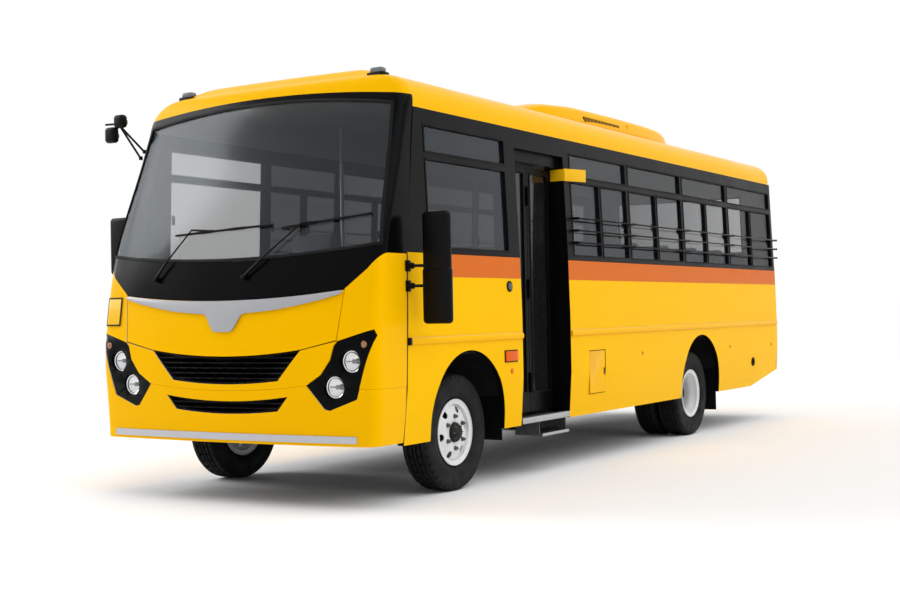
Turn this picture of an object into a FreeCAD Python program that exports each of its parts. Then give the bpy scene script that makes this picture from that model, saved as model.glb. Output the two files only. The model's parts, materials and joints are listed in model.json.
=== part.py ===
import FreeCAD, Part
import math
import os
import Sketcher

# A front-engined school bus on two axles. The row frame has +Z up, the front towards -Y and
# the passenger door on +X. The origin is on the ground, under the middle of the bus.
# Places along the bus are stations: distances behind the front skin.

SIZES = {
    # Whole body
    "body_length": 8120, "body_width": 2350, "wall": 45, "overrun": 60, "seam": 4, "seat": 0.3,
    "skirt_height": 390, "waist_low": 750, "waist_high": 1200, "sill_height": 1629,
    "gutter_height": 2590, "crown_height": 2935, "skirt_tuck": 25, "sill_tuck": 10,
    "gutter_tuck": 50, "skin": 22, "glass": 6, "screen_inset": 1.2, "flap_gap": 6,
    # Nose and tail of the body shell
    "nose_radius": 10300, "nose_corner": 90, "tail_radius": 9000, "tail_corner": 130,
    "bumper_height": 410, "brow_height": 1100, "trim_height": 1350, "trim_set": 35,
    "screen_foot": 1640, "screen_foot_set": 92, "screen_mid_height": 2100,
    "screen_mid_set": 254, "gutter_set": 430, "roof_nose_set": 600, "roof_tail_set": 330,
    "tail_sill_set": 10, "tail_gutter_set": 70, "nose_seam_low": 388, "nose_seam_sill": 453,
    "nose_seam_top": 617, "tail_seam": 7930, "tail_rise": 7098, "tail_foot": 560,
    # Wheels and axles
    "front_axle_at": 1216, "wheelbase": 4409, "tyre_diameter": 808, "tyre_width": 215,
    "bead_radius": 203, "rim_radius": 231, "rim_width": 152, "flange": 8, "rim_wall": 7,
    "front_track": 1897, "rear_track": 1916, "dual_spacing": 245, "kingpin_spacing": 1600,
    "disc_wall": 12, "disc_inset": 36, "hand_hole_radius": 26, "hand_hole_circle": 168,
    "hub_radius": 78, "hub_out": 40, "spindle_radius": 28, "running": 0.4, "beam_height": 70,
    "beam_width": 90, "beam_drop": 60, "beam_shoulder": 68, "beam_slope": 120,
    "eye_radius": 34, "eye_height": 90, "kingpin_radius": 15, "lug_height": 30, "lug_gap": 2,
    "knuckle_wall": 28, "arm_length": 170, "arm_wall": 16, "rod_radius": 14, "stud_radius": 6,
    "axle_tube": 58, "banjo_radius": 165, "banjo_width": 150,
    # Chassis
    "rail_spacing": 695, "rail_height": 180, "rail_width": 65, "rail_base": 560,
    "rail_front": 260, "rail_rear": 7860, "rail_web": 10, "cross_wall": 50,
    "spring_length": 1250, "spring_width": 70, "spring_stack": 48, "spring_spacing": 695,
    "hanger": 40, "engine_front": 560, "engine_length": 1080, "engine_width": 600,
    "engine_base": 450, "engine_top": 1130, "tank_front": 3150, "tank_length": 1150,
    "tank_width": 520, "tank_height": 330, "tank_base": 450, "shaft_radius": 30,
    "shaft_height": 450, "yoke_radius": 60, "mount_depth": 100, "gearbox_length": 594,
    "gearbox_half": 163, "bracket_wall": 60, "bracket_height": 80, "pipe_radius": 38,
    "pipe_height": 649, "pipe_station": 7124, "drum_radius": 91, "drum_length": 546,
    "tow_eye_radius": 20, "tow_plate": 24, "tow_reach": 120, "tow_eye_at": 60,
    # Floor, wheelhouses and steps
    "floor_top": 870, "floor_front": 272, "floor_rear": 8030, "floor_wall": 40,
    "bearer_height": 90, "bearer_width": 50, "arch_radius": 500, "arch_height": 472,
    "house_wall": 5, "house_top": 950, "house_inner": 570, "house_half": 540,
    "house_slope": 180, "apron_foot": 620, "tread_low": 430, "tread_mid": 650,
    "step_edge": 1100, "tread_low_inner": 585, "tread_mid_inner": 395, "tread_wall": 5,
    "drop_step_top": 300, "drop_step_front": 2300, "drop_step_rear": 2750,
    "drop_step_depth": 235, "drop_step_wall": 15, "step_hanger": 10, "step_hanger_set": 24,
    # Side walls and windows
    "door_front": 1974, "door_rear": 2771, "door_head": 2445, "frame_wall": 40,
    "pane_low": 1665, "pane_high": 2487, "midrail_low": 2262, "midrail_high": 2300,
    "cab_pane_front": 723, "cab_pane_rear": 1816, "pillar_width": 52, "first_pane": 2880,
    "pillar_one": 3990, "pillar_two": 5250, "pillar_three": 6490, "last_pane": 7860,
    "stile": 34, "belt_low": 1028, "belt_high": 1080, "belt_proud": 18, "belt_edge": 6,
    "bar_low": 1770, "bar_pitch": 97, "bar_radius": 9, "bar_out": 52, "bar_front": 2905,
    "bar_rear": 7900, "flap_front": 3100, "flap_rear": 3410, "flap_low": 551, "flap_high": 905,
    # Front face, half widths and heights
    "screen_half_low": 1150, "screen_low_side": 1668, "screen_low_mid": 1601,
    "screen_half_high": 1062, "screen_high_side": 2615, "screen_high_mid": 2700,
    "surround_half_high": 1112, "surround_high_side": 2668, "surround_high_mid": 2737,
    "cowl_side_height": 1630, "cowl_knee_half": 1085, "cowl_knee_height": 1520,
    "flap_half_high": 935, "flap_side_height": 1398, "flap_mid_height": 1347,
    "flap_half_low": 900, "flap_low_side": 1070, "grille_half_high": 629,
    "grille_high_side": 1012, "grille_high_mid": 969, "grille_half_low": 448,
    "grille_low_side": 817, "grille_low_mid": 792, "fascia_half_low": 664,
    "fascia_low_side": 790, "fascia_low_mid": 752, "corner_seam_height": 770,
    "intake_half_high": 516, "intake_high_side": 716, "intake_high_mid": 681,
    "intake_half_low": 433, "intake_low_side": 622, "intake_low_mid": 599, "trim_depth": 78,
    "trim_tip": 13, "trim_proud": 14, "shield_half": 120, "shield_low": 1153, "grille_set": 55,
    "grille_wall": 12, "slat_pitch": 34, "slat_wall": 10, "lamp_set": 32, "lamp_radius": 70,
    "housing_depth": 180, "upper_lamp_x": 989, "upper_lamp_z": 941, "lower_lamp_x": 866,
    "lower_lamp_z": 779, "indicator_z": 1048, "marker_half": 30, "striker_half": 60,
    "striker_low": 924, "striker_high": 1029,
    # Door leaves
    "leaf_plane": 1000, "leaf_wall": 28, "pivot_inset": 30, "leaf_edge": 16, "leaf_foot": 460,
    "leaf_top": 2345, "header_foot": 2360, "leaf_frame": 46, "kick_rail": 150, "fold_gap": 6,
    "fold_pin_out": 25, "pin_radius": 8, "jamb_wall": 34, "fold_knuckle": 75,
    # Roof unit, lamps, mirrors and wipers
    "unit_front": 3090, "unit_rear": 6530, "unit_half": 650, "unit_top": 3088,
    "unit_foot": 2880, "marker_x": 837, "marker_station": 640, "marker_height": 2850,
    "mirror_x": 1350, "mirror_station": 525, "mirror_width": 215, "mirror_depth": 70,
    "mirror_low": 1160, "mirror_high": 1890, "mirror_split": 1500, "mirror_arm": 11,
    "mirror_step": 8, "mirror_foot_half": 22, "mirror_foot_rise": 33, "mirror_foot_wall": 12,
    "bracket_high": 1539, "bracket_low": 1410, "wiper_x": 560, "wiper_mid_x": 140,
    "wiper_radius": 9, "wiper_reach": 470, "wiper_rise": 225, "wiper_lift": 27,
    "pivot_lift": 13.5, "boss_radius": 18, "flapper_wall": 8, "flapper_drop": 530,
    # Cabin
    "seat_pitch": 720, "seat_first": 3150, "seat_width": 860, "seat_aisle": 215,
    "cushion_height": 1290, "cushion_wall": 90, "cushion_depth": 400, "back_height": 1830,
    "back_wall": 70, "leg_wall": 30, "leg_set": 60, "dash_top": 1400, "dash_depth": 330,
    "cover_top": 1250, "cover_half": 370, "cover_rear": 1780, "wheel_radius": 225,
    "column_radius": 24, "driver_x": 620, "driver_station": 1330, "driver_back": 1875,
    "seat_box_half": 100, "rim_at": 746, "wheel_tilt": 32, "wheel_rim": 15,
}

BENCH_ROWS, HAND_HOLES, CROSS_MEMBERS, BEARERS, BAR_ROWS = 6, 6, 7, 9, 3

PARTS_FOLDER = "parts"
# The roof's section is a superellipse: its sections stand at shares of a quarter turn
ROOF_TURN_SHARES = (0.0, 0.06, 0.16, 0.32, 0.49, 0.66, 0.8, 0.91)
ROOF_RISE_POWER = 0.625
ROOF_WIDTH_POWER = 1.1
ROOF_END_POWER = 5.0
TAIL_PANE_SHARE = 0.72
UNIT_BROW_SHARE, UNIT_CREST_SHARE, UNIT_TAIL_SHARE = 0.03, 0.16, 0.1
# A tyre's sidewall: shares of its half width, each at a share of its rise over the rim
SIDEWALL_SHARES = ((0.93, 0.25), (1.0, 0.52), (0.95, 0.86), (0.72, 1.0))
AXLE_NOSE_SHARE, LEAF_TIP_SHARE, LEAF_CLAMP_SHARE = 0.45, 0.35, 0.12
SKIRT_FOOT_SHARE, BELT_EDGE_SHARE = 1.6, 0.75
SHIELD_WAIST_SHARE, SHIELD_TIP_SHARE = 0.85, 0.4
WIPER_ARM_SHARE, BLADE_START_SHARE, BLADE_END_SHARE = 0.8, 0.3, 1.5
FOLD_KNUCKLE_SHARES = (0.12, 0.5, 0.88)
# Corners of a lamp housing, as shares of a lamp's radius from that lamp's middle
TOE_SHARES, HEEL_SHARES, CHEEK_SHARES = (-1.05, -1.98), (-0.5, -2.1), (0.62, -1.05)
EAR_SHARES, CREST_SHARES, NECK_SHARES = (2.5, 0.77), (2.3, 1.33), (-0.35, 1.45)
BROW_SHARES, CUFF_SHARES = (-0.25, 0.18), (-1.28, 1.15)

document = FreeCAD.newDocument("SchoolBus")
sheet = document.addObject("Spreadsheet::Sheet", "Sizes")
kept = {}


def fill_sheet():
    """Write every driving size to the sheet, with its name beside it."""
    for row, (name, value) in enumerate(SIZES.items(), start=1):
        sheet.set(f"A{row}", name)
        sheet.set(f"B{row}", str(value))
        sheet.setAlias(f"B{row}", name)
    document.recompute()


class Size:
    """A number that remembers the cells it was worked out from."""

    def __init__(self, value, text):
        self.value = float(value)
        self.text = text

    def __float__(self):
        return self.value

    def __neg__(self):
        return Size(-self.value, f"(-1 * {self.text})")

    def __add__(self, other):
        return Size(self.value + float(other), f"({self.text} + {text_of(other)})")

    def __radd__(self, other):
        return Size(float(other) + self.value, f"({text_of(other)} + {self.text})")

    def __sub__(self, other):
        return Size(self.value - float(other), f"({self.text} - {text_of(other)})")

    def __rsub__(self, other):
        return Size(float(other) - self.value, f"({text_of(other)} - {self.text})")

    def __mul__(self, other):
        return Size(self.value * float(other), f"({self.text} * {text_of(other)})")

    __rmul__ = __mul__

    def __truediv__(self, other):
        return Size(self.value / float(other), f"({self.text} / {text_of(other)})")


def text_of(number):
    """The expression text of a size or of a plain number."""
    return number.text if isinstance(number, Size) else repr(float(number))


class SizeNames:
    """Hands out each size of the sheet by its name."""

    def __getattr__(self, name):
        return Size(sheet.get(name), f"Sizes.{name}")


S = SizeNames()


def station(distance):
    """The Y of a point that lies so far behind the front skin."""
    return distance - S.body_length / 2


def poly(*points):
    """A closed outline through the given points of a plane."""
    return ("poly", points)


def box(low_h, low_v, high_h, high_v):
    """A rectangle between two corners."""
    return poly((low_h, low_v), (high_h, low_v), (high_h, high_v), (low_h, high_v))


def ring(across, up, radius):
    """A circle with its centre and radius."""
    return ("ring", (across, up, radius))


def span(side, near, far):
    """Two X places on one side of the bus, lowest first."""
    return (near, far) if side > 0 else (-far, -near)


class Piece:
    """One sub-part of the bus: a body that grows by sketched features."""

    PLANES = {"top": "XY_Plane", "front": "XZ_Plane", "side": "YZ_Plane"}
    AXES = {"X": "X_Axis", "Y": "Y_Axis", "Z": "Z_Axis"}

    def __init__(self, node):
        self.node = node
        self.body = document.addObject("PartDesign::Body", node)
        self.body.Label = node
        self.body.AllowCompound = True
        kept[node] = self.body

    def origin_feature(self, role):
        """The origin plane or axis of this body with the given role."""
        return next(part for part in self.body.Origin.OriginFeatures if part.Role == role)

    def sketch(self, plane, level, outlines):
        """Draw outlines on a plane that stands at a level along its own row axis."""
        drawing = self.body.newObject("Sketcher::SketchObject", f"{self.node}_sketch")
        drawing.AttachmentSupport = [(self.origin_feature(self.PLANES[plane]), "")]
        drawing.MapMode = "FlatFace"
        offset = -level if plane == "front" else level
        drawing.AttachmentOffset = FreeCAD.Placement(
            FreeCAD.Vector(0, 0, float(offset)), FreeCAD.Rotation())
        if isinstance(offset, Size):
            drawing.setExpression("AttachmentOffset.Base.z", offset.text)
        for kind, shape in outlines:
            if kind == "poly":
                self.draw_polygon(drawing, shape)
            else:
                self.draw_circle(drawing, shape)
        return drawing

    @staticmethod
    def pin_point(drawing, geometry, end, across, up):
        """Hold one point of the drawing at its two distances from the origin."""
        for kind, amount in (("DistanceX", across), ("DistanceY", up)):
            number = drawing.addConstraint(
                Sketcher.Constraint(kind, -1, 1, geometry, end, float(amount)))
            if isinstance(amount, Size):
                drawing.setExpression(f"Constraints[{number}]", amount.text)

    def draw_polygon(self, drawing, points):
        """Add a closed polygon whose corners are bound to the sheet."""
        corners = [FreeCAD.Vector(float(across), float(up), 0) for across, up in points]
        lines = []
        for index, corner in enumerate(corners):
            following = corners[(index + 1) % len(corners)]
            lines.append(drawing.addGeometry(Part.LineSegment(corner, following), False))
        for index, line in enumerate(lines):
            following = lines[(index + 1) % len(lines)]
            drawing.addConstraint(Sketcher.Constraint("Coincident", line, 2, following, 1))
        for line, (across, up) in zip(lines, points):
            self.pin_point(drawing, line, 1, across, up)

    def draw_circle(self, drawing, circle):
        """Add a circle whose centre and radius are bound to the sheet."""
        across, up, radius = circle
        centre = FreeCAD.Vector(float(across), float(up), 0)
        shape = Part.Circle(centre, FreeCAD.Vector(0, 0, 1), float(radius))
        geometry = drawing.addGeometry(shape, False)
        number = drawing.addConstraint(Sketcher.Constraint("Radius", geometry, float(radius)))
        if isinstance(radius, Size):
            drawing.setExpression(f"Constraints[{number}]", radius.text)
        self.pin_point(drawing, geometry, 3, across, up)

    def extrude(self, kind, plane, level, length, outlines):
        """Add a pad or a pocket of the given length to the body."""
        drawing = self.sketch(plane, level, outlines)
        feature = self.body.newObject(f"PartDesign::{kind}", f"{self.node}_{kind.lower()}")
        feature.Profile = drawing
        feature.Length = float(length)
        feature.setExpression("Length", length.text)
        return feature

    def pad(self, plane, low, high, *outlines):
        """Add material between two levels along the plane's row axis."""
        level = high if plane == "front" else low
        return self.extrude("Pad", plane, level, high - low, outlines)

    def pocket(self, plane, low, high, *outlines):
        """Cut material between two levels, and make sure that something went."""
        document.recompute()
        before = self.body.Shape.Volume
        level = low if plane == "front" else high
        feature = self.extrude("Pocket", plane, level, high - low, outlines)
        document.recompute()
        if not self.body.Shape.Volume < before:
            raise ValueError(f"a pocket in {self.node} cuts nothing")
        return feature

    def turn(self, kind, plane, axis, *outlines):
        """Revolve or groove outlines of an origin plane round an origin axis."""
        drawing = self.sketch(plane, 0, outlines)
        feature = self.body.newObject(f"PartDesign::{kind}", f"{self.node}_{kind.lower()}")
        feature.Profile = drawing
        feature.ReferenceAxis = (self.origin_feature(self.AXES[axis]), [""])
        feature.Angle = 360
        return feature

    def ring_of(self, feature, axis, copies):
        """Repeat a feature evenly round an origin axis."""
        document.recompute()
        pattern = self.body.newObject("PartDesign::PolarPattern", f"{self.node}_ring")
        pattern.Originals = [feature]
        pattern.Axis = (self.origin_feature(self.AXES[axis]), [""])
        pattern.Angle = 360
        pattern.Occurrences = copies
        self.body.Tip = pattern
        return pattern

    def row_of(self, features, axis, length, copies):
        """Repeat features along an origin axis over a length."""
        document.recompute()
        pattern = self.body.newObject("PartDesign::LinearPattern", f"{self.node}_row")
        pattern.Originals = list(features)
        pattern.Direction = (self.origin_feature(self.AXES[axis]), [""])
        pattern.Length = float(length)
        pattern.setExpression("Length", length.text)
        pattern.Occurrences = copies
        self.body.Tip = pattern
        return pattern

    def place(self, x_place=0, y_place=0, z_place=0):
        """Move the whole body to its seat on the bus."""
        self.body.Placement.Base = FreeCAD.Vector(
            float(x_place), float(y_place), float(z_place))
        for letter, amount in (("x", x_place), ("y", y_place), ("z", z_place)):
            if isinstance(amount, Size):
                self.body.setExpression(f"Placement.Base.{letter}", amount.text)


def keep_pair(node, pieces):
    """Keep like sub-parts of both sides as one sub-part."""
    pair = document.addObject("Part::Compound", node)
    pair.Label = node
    pair.Links = [piece.body for piece in pieces]
    for piece in pieces:
        del kept[piece.node]
    kept[node] = pair


def keep_shape(node, shape):
    """Store a free-form sub-part under its node's name."""
    feature = document.addObject("Part::Feature", node)
    feature.Label = node
    feature.Shape = shape
    kept[node] = feature


# Wheels, tyres and axles


def tyre_section(centre):
    """Half of a tyre's section, mirrored about its middle."""
    bead, rim, outer = S.bead_radius + S.seat, S.rim_radius, S.tyre_diameter / 2
    half, seat_half = S.tyre_width / 2, S.rim_width / 2 - S.seat
    rise = outer - rim
    upper = [(seat_half, bead), (seat_half, rim + S.flange)]
    upper += [(half * width_share, rim + rise * rise_share)
              for width_share, rise_share in SIDEWALL_SHARES]
    right = [(centre + across, up) for across, up in upper]
    left = [(centre - across, up) for across, up in reversed(upper)]
    return poly(*right, *left)


def rolling_stock():
    """Front wheels, and rear wheels in pairs, each with its tyres."""
    axle_height = S.tyre_diameter / 2
    for side, name in ((1, "left"), (-1, "right")):
        front_y = station(S.front_axle_at)
        front_x = S.front_track / 2 * side
        tyre = Piece(f"tyre_front_{name}")
        tyre.turn("Revolution", "top", "X", tyre_section(0))
        tyre.place(front_x, front_y, axle_height)
        front_wheel(name, side).place(front_x, front_y, axle_height)
        rear_y = station(S.front_axle_at + S.wheelbase)
        rear_x = (S.rear_track / 2 - S.dual_spacing / 2) * side
        tyres = Piece(f"tyres_rear_{name}")
        tyres.turn("Revolution", "top", "X", tyre_section(S.dual_spacing / 2),
                   tyre_section(-S.dual_spacing / 2))
        tyres.place(rear_x, rear_y, axle_height)
        rear_wheels(name, side).place(rear_x, rear_y, axle_height)


def hand_holes(wheel, low, high):
    """Cut the ring of hand holes through a wheel's disc."""
    hole = wheel.pocket("side", low, high, ring(S.hand_hole_circle, 0, S.hand_hole_radius))
    wheel.ring_of(hole, "X", HAND_HOLES)


def front_wheel(name, side):
    """A front wheel: rim, disc near the outer face, hub and its cap."""
    wheel = Piece(f"wheel_front_{name}")
    disc = S.rim_width / 2 - S.disc_inset
    low, high = span(side, disc, disc + S.disc_wall)
    half = S.rim_width / 2
    seat, rim = S.bead_radius, S.rim_radius
    wheel.turn("Revolution", "top", "X", poly(
        (-half - S.flange, seat - S.rim_wall), (-half - S.flange, rim), (-half, rim), (-half, seat),
        (half, seat), (half, rim), (half + S.flange, rim), (half + S.flange, seat - S.rim_wall)))
    wheel.pad("side", low, high, ring(0, 0, seat - S.rim_wall / 2), ring(0, 0, S.hub_radius / 2))
    hand_holes(wheel, low - S.seam, high + S.seam)
    hub_low, hub_high = span(side, -S.hub_out, half + S.hub_out)
    bore = S.spindle_radius + S.running
    wheel.pad("side", hub_low, hub_high, ring(0, 0, S.hub_radius), ring(0, 0, bore))
    cap_low, cap_high = span(side, half + S.hub_out - S.disc_wall, half + S.hub_out)
    wheel.pad("side", cap_low, cap_high, ring(0, 0, S.hub_radius - S.disc_wall))
    return wheel


def rear_wheels(name, side):
    """Two rear wheels on one hub, with their discs face to face between them."""
    wheel = Piece(f"wheels_rear_{name}")
    half = S.rim_width / 2
    seat, rim, barrel = S.bead_radius, S.rim_radius, S.bead_radius - S.rim_wall
    for centre in (S.dual_spacing / 2, -S.dual_spacing / 2):
        wheel.turn("Revolution", "top", "X", poly(
            (centre - half - S.flange, barrel), (centre - half - S.flange, rim),
            (centre - half, rim), (centre - half, seat), (centre + half, seat),
            (centre + half, rim), (centre + half + S.flange, rim),
            (centre + half + S.flange, barrel)))
    bridge = S.dual_spacing / 2 - half
    wheel.pad("side", -bridge, bridge, ring(0, 0, seat), ring(0, 0, barrel))
    low, high = -S.disc_wall, S.disc_wall
    bore = S.axle_tube + S.running
    wheel.pad("side", low, high, ring(0, 0, barrel + S.rim_wall / 2), ring(0, 0, bore))
    hand_holes(wheel, low - S.seam, high + S.seam)
    hub_low, hub_high = span(side, -S.disc_wall, S.dual_spacing / 2 + S.hub_out)
    wheel.pad("side", hub_low, hub_high, ring(0, 0, S.hub_radius), ring(0, 0, bore))
    cap_low, cap_high = span(side, S.dual_spacing / 2 + S.hub_out - S.disc_wall,
                             S.dual_spacing / 2 + S.hub_out)
    wheel.pad("side", cap_low, cap_high, ring(0, 0, S.hub_radius - S.rim_wall))
    return wheel


def steering():
    """Front beam, steering knuckles with their spindles, and the rod that ties them."""
    axle_height = S.tyre_diameter / 2
    axle_y = station(S.front_axle_at)
    pin_x = S.kingpin_spacing / 2
    eye_low, eye_high = axle_height - S.eye_height / 2, axle_height + S.eye_height / 2
    low = axle_height - S.beam_drop
    beam_end = pin_x - S.beam_shoulder
    beam = Piece("front_axle")
    inner = beam_end - S.beam_slope
    beam.pad("front", axle_y - S.beam_width / 2, axle_y + S.beam_width / 2, poly(
        (-pin_x, eye_low), (-beam_end, eye_low), (-inner, low - S.beam_height / 2),
        (inner, low - S.beam_height / 2), (beam_end, eye_low), (pin_x, eye_low),
        (pin_x, eye_high), (beam_end, eye_high), (inner, low + S.beam_height / 2),
        (-inner, low + S.beam_height / 2), (-beam_end, eye_high), (-pin_x, eye_high)))
    pad_x = S.spring_spacing / 2
    for side in (1, -1):
        beam.pocket("top", eye_low - S.seam, eye_high + S.seam,
                    box(*sorted_box(side, pin_x - S.eye_radius / 2, pin_x + S.overrun,
                                    axle_y - S.beam_width, axle_y + S.beam_width)))
        beam.pad("top", eye_low, eye_high, ring(pin_x * side, axle_y, S.eye_radius))
        reach = S.lug_height + S.lug_gap
        beam.pad("top", eye_low - reach, eye_high + reach,
                 ring(pin_x * side, axle_y, S.kingpin_radius))
        beam.pad("top", low + S.beam_height / 2 - S.seam, spring_seat(),
                 box(*sorted_box(side, pad_x - S.spring_width / 2, pad_x + S.spring_width / 2,
                                 axle_y - S.beam_width / 2, axle_y + S.beam_width / 2)))
        knuckle(side, pin_x, axle_y, axle_height)
    rod = Piece("tie_rod")
    rod_y, rod_x = axle_y + S.arm_length, pin_x
    rod_z = knuckle_arm_foot() - S.rod_radius - S.lug_gap
    rod.pad("side", -rod_x, rod_x, ring(rod_y, rod_z, S.rod_radius))
    for side in (1, -1):
        rod.pad("top", rod_z - S.rod_radius, knuckle_arm_foot() - S.seat,
                ring(rod_x * side, rod_y, S.rod_radius))
        rod.pad("top", rod_z, knuckle_arm_foot() + S.arm_wall,
                ring(rod_x * side, rod_y, S.stud_radius))


def sorted_box(side, near_x, far_x, low_y, high_y):
    """The corners of a box on one side of the bus, lowest first."""
    low_x, high_x = span(side, near_x, far_x)
    return low_x, low_y, high_x, high_y


def spring_seat():
    """The height at which the front springs sit on the beam."""
    return S.tyre_diameter / 2 + S.seam


def knuckle_arm_foot():
    """The underside of the steering arms."""
    return S.tyre_diameter / 2 - S.eye_height / 2 - S.lug_gap - S.lug_height


def knuckle(side, pin_x, axle_y, axle_height):
    """A steering knuckle: two lugs round the kingpin, a plate, a spindle and an arm."""
    name = "left" if side > 0 else "right"
    piece = Piece(f"knuckle_{name}")
    eye_low, eye_high = axle_height - S.eye_height / 2, axle_height + S.eye_height / 2
    lug_low, lug_high = eye_low - S.lug_gap, eye_high + S.lug_gap
    plate_near = pin_x + S.eye_radius + S.seam * 2
    plate_far = plate_near + S.knuckle_wall
    bore = S.kingpin_radius + S.running
    width = S.eye_radius
    for low, high in ((lug_low - S.lug_height, lug_low), (lug_high, lug_high + S.lug_height)):
        piece.pad("top", low, high,
                  box(*sorted_box(side, pin_x, plate_far, axle_y - width, axle_y + width)))
    plate_low, plate_high = span(side, plate_near, plate_far)
    piece.pad("side", plate_low, plate_high,
              box(axle_y - width, lug_low - S.lug_height, axle_y + width, lug_high + S.lug_height))
    piece.pad("top", lug_low - S.lug_height, lug_low, ring(pin_x * side, axle_y, width))
    piece.pad("top", lug_high, lug_high + S.lug_height, ring(pin_x * side, axle_y, width))
    tip = S.front_track / 2 + S.rim_width / 2
    spindle_low, spindle_high = span(side, plate_far - S.seam, tip)
    piece.pad("side", spindle_low, spindle_high, ring(axle_y, axle_height, S.spindle_radius))
    foot = knuckle_arm_foot()
    arm_low, arm_high = span(side, pin_x - S.rod_radius, pin_x + S.rod_radius)
    piece.pad("top", foot, foot + S.arm_wall,
              box(arm_low, axle_y, arm_high, axle_y + S.arm_length + S.rod_radius))
    piece.pocket("top", foot - S.seam, foot + S.arm_wall + S.seam,
                 ring(pin_x * side, axle_y + S.arm_length, S.stud_radius + S.running))
    piece.pocket("top", lug_low - S.lug_height - S.seam, lug_high + S.lug_height + S.seam,
                 ring(pin_x * side, axle_y, bore))


def rear_axle():
    """The driven axle: a banjo in the middle of two tubes that reach into the hubs."""
    axle_height = S.tyre_diameter / 2
    axle_y = station(S.front_axle_at + S.wheelbase)
    axle = Piece("rear_axle")
    reach = S.rear_track / 2
    axle.pad("side", -reach, reach, ring(axle_y, axle_height, S.axle_tube))
    axle.pad("front", axle_y - S.banjo_width / 2, axle_y + S.banjo_width / 2,
             ring(0, axle_height, S.banjo_radius))
    axle.pad("front", axle_y - S.banjo_width, axle_y,
             ring(0, axle_height, S.banjo_radius * AXLE_NOSE_SHARE))
    pad_x = S.spring_spacing / 2
    for side in (1, -1):
        low, high = span(side, pad_x - S.spring_width / 2, pad_x + S.spring_width / 2)
        axle.pad("side", low, high, box(axle_y - S.axle_tube, axle_height,
                                        axle_y + S.axle_tube, rear_spring_seat()))


def rear_spring_seat():
    """The height at which the rear springs sit on the axle."""
    return S.tyre_diameter / 2 + S.axle_tube + S.seam * 2


def leaf_springs():
    """Four leaf packs, low in the middle and risen at both ends."""
    springs = Piece("leaf_springs")
    half = S.spring_length / 2
    for at, foot in ((S.front_axle_at, spring_seat()),
                     (S.front_axle_at + S.wheelbase, rear_spring_seat())):
        middle = station(at)
        base = foot + S.seat
        top = S.rail_base - S.hanger
        tip = top - S.spring_stack * LEAF_TIP_SHARE
        clamp = half * LEAF_CLAMP_SHARE
        for side in (1, -1):
            low, high = span(side, S.spring_spacing / 2 - S.spring_width / 2,
                             S.spring_spacing / 2 + S.spring_width / 2)
            springs.pad("side", low, high, poly(
                (middle - half, tip), (middle - clamp, base), (middle + clamp, base),
                (middle + half, tip), (middle + half, top),
                (middle + clamp, base + S.spring_stack),
                (middle - clamp, base + S.spring_stack), (middle - half, top)))


def chassis():
    """Two rails with cross members, spring hangers and tow eyes."""
    frame = Piece("chassis_frame")
    low_y, high_y = station(S.rail_front), station(S.rail_rear)
    top = S.rail_base + S.rail_height
    web = S.rail_web
    for side in (1, -1):
        outer, inner = S.rail_spacing / 2 + S.rail_width / 2, S.rail_spacing / 2 - S.rail_width / 2
        points = [(inner, S.rail_base), (outer, S.rail_base), (outer, top), (inner, top),
                  (inner, top - web), (outer - web, top - web), (outer - web, S.rail_base + web),
                  (inner, S.rail_base + web)]
        frame.pad("front", low_y, high_y, poly(*[(across * side, up) for across, up in points]))
        for at in (S.front_axle_at, S.front_axle_at + S.wheelbase):
            for end in (S.spring_length / 2, -S.spring_length / 2 + S.hanger):
                spot = station(at) + end
                hang_low, hang_high = span(side, S.spring_spacing / 2 - S.rail_width / 2,
                                           S.spring_spacing / 2 + S.rail_width / 2)
                frame.pad("top", S.rail_base - S.hanger + S.seat, S.rail_base + web,
                          box(hang_low, spot - S.hanger, hang_high, spot))
    inner = S.rail_spacing / 2 + S.rail_width / 2 - web
    cross = frame.pad("side", -inner, inner,
                      box(low_y, S.rail_base + web, low_y + S.cross_wall, top - web))
    frame.row_of([cross], "Y", high_y - low_y - S.cross_wall, CROSS_MEMBERS)
    frame.pocket("side", -S.engine_width / 2, S.engine_width / 2,
                 box(station(S.engine_front) - S.seam, S.rail_base,
                     station(S.engine_front + S.engine_length) + S.seam, top))
    eye_x = S.rail_spacing / 2
    plate = S.rail_base + S.rail_height / 2
    for side in (1, -1):
        frame.pad("top", plate - S.tow_plate / 2, plate + S.tow_plate / 2, box(*sorted_box(
            side, eye_x - S.rail_width / 2, eye_x + S.rail_width / 2,
            low_y - S.tow_reach, low_y + web)))
        frame.pocket("top", plate - S.tow_plate, plate + S.tow_plate,
                     ring(eye_x * side, low_y - S.tow_eye_at, S.tow_eye_radius))


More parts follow.
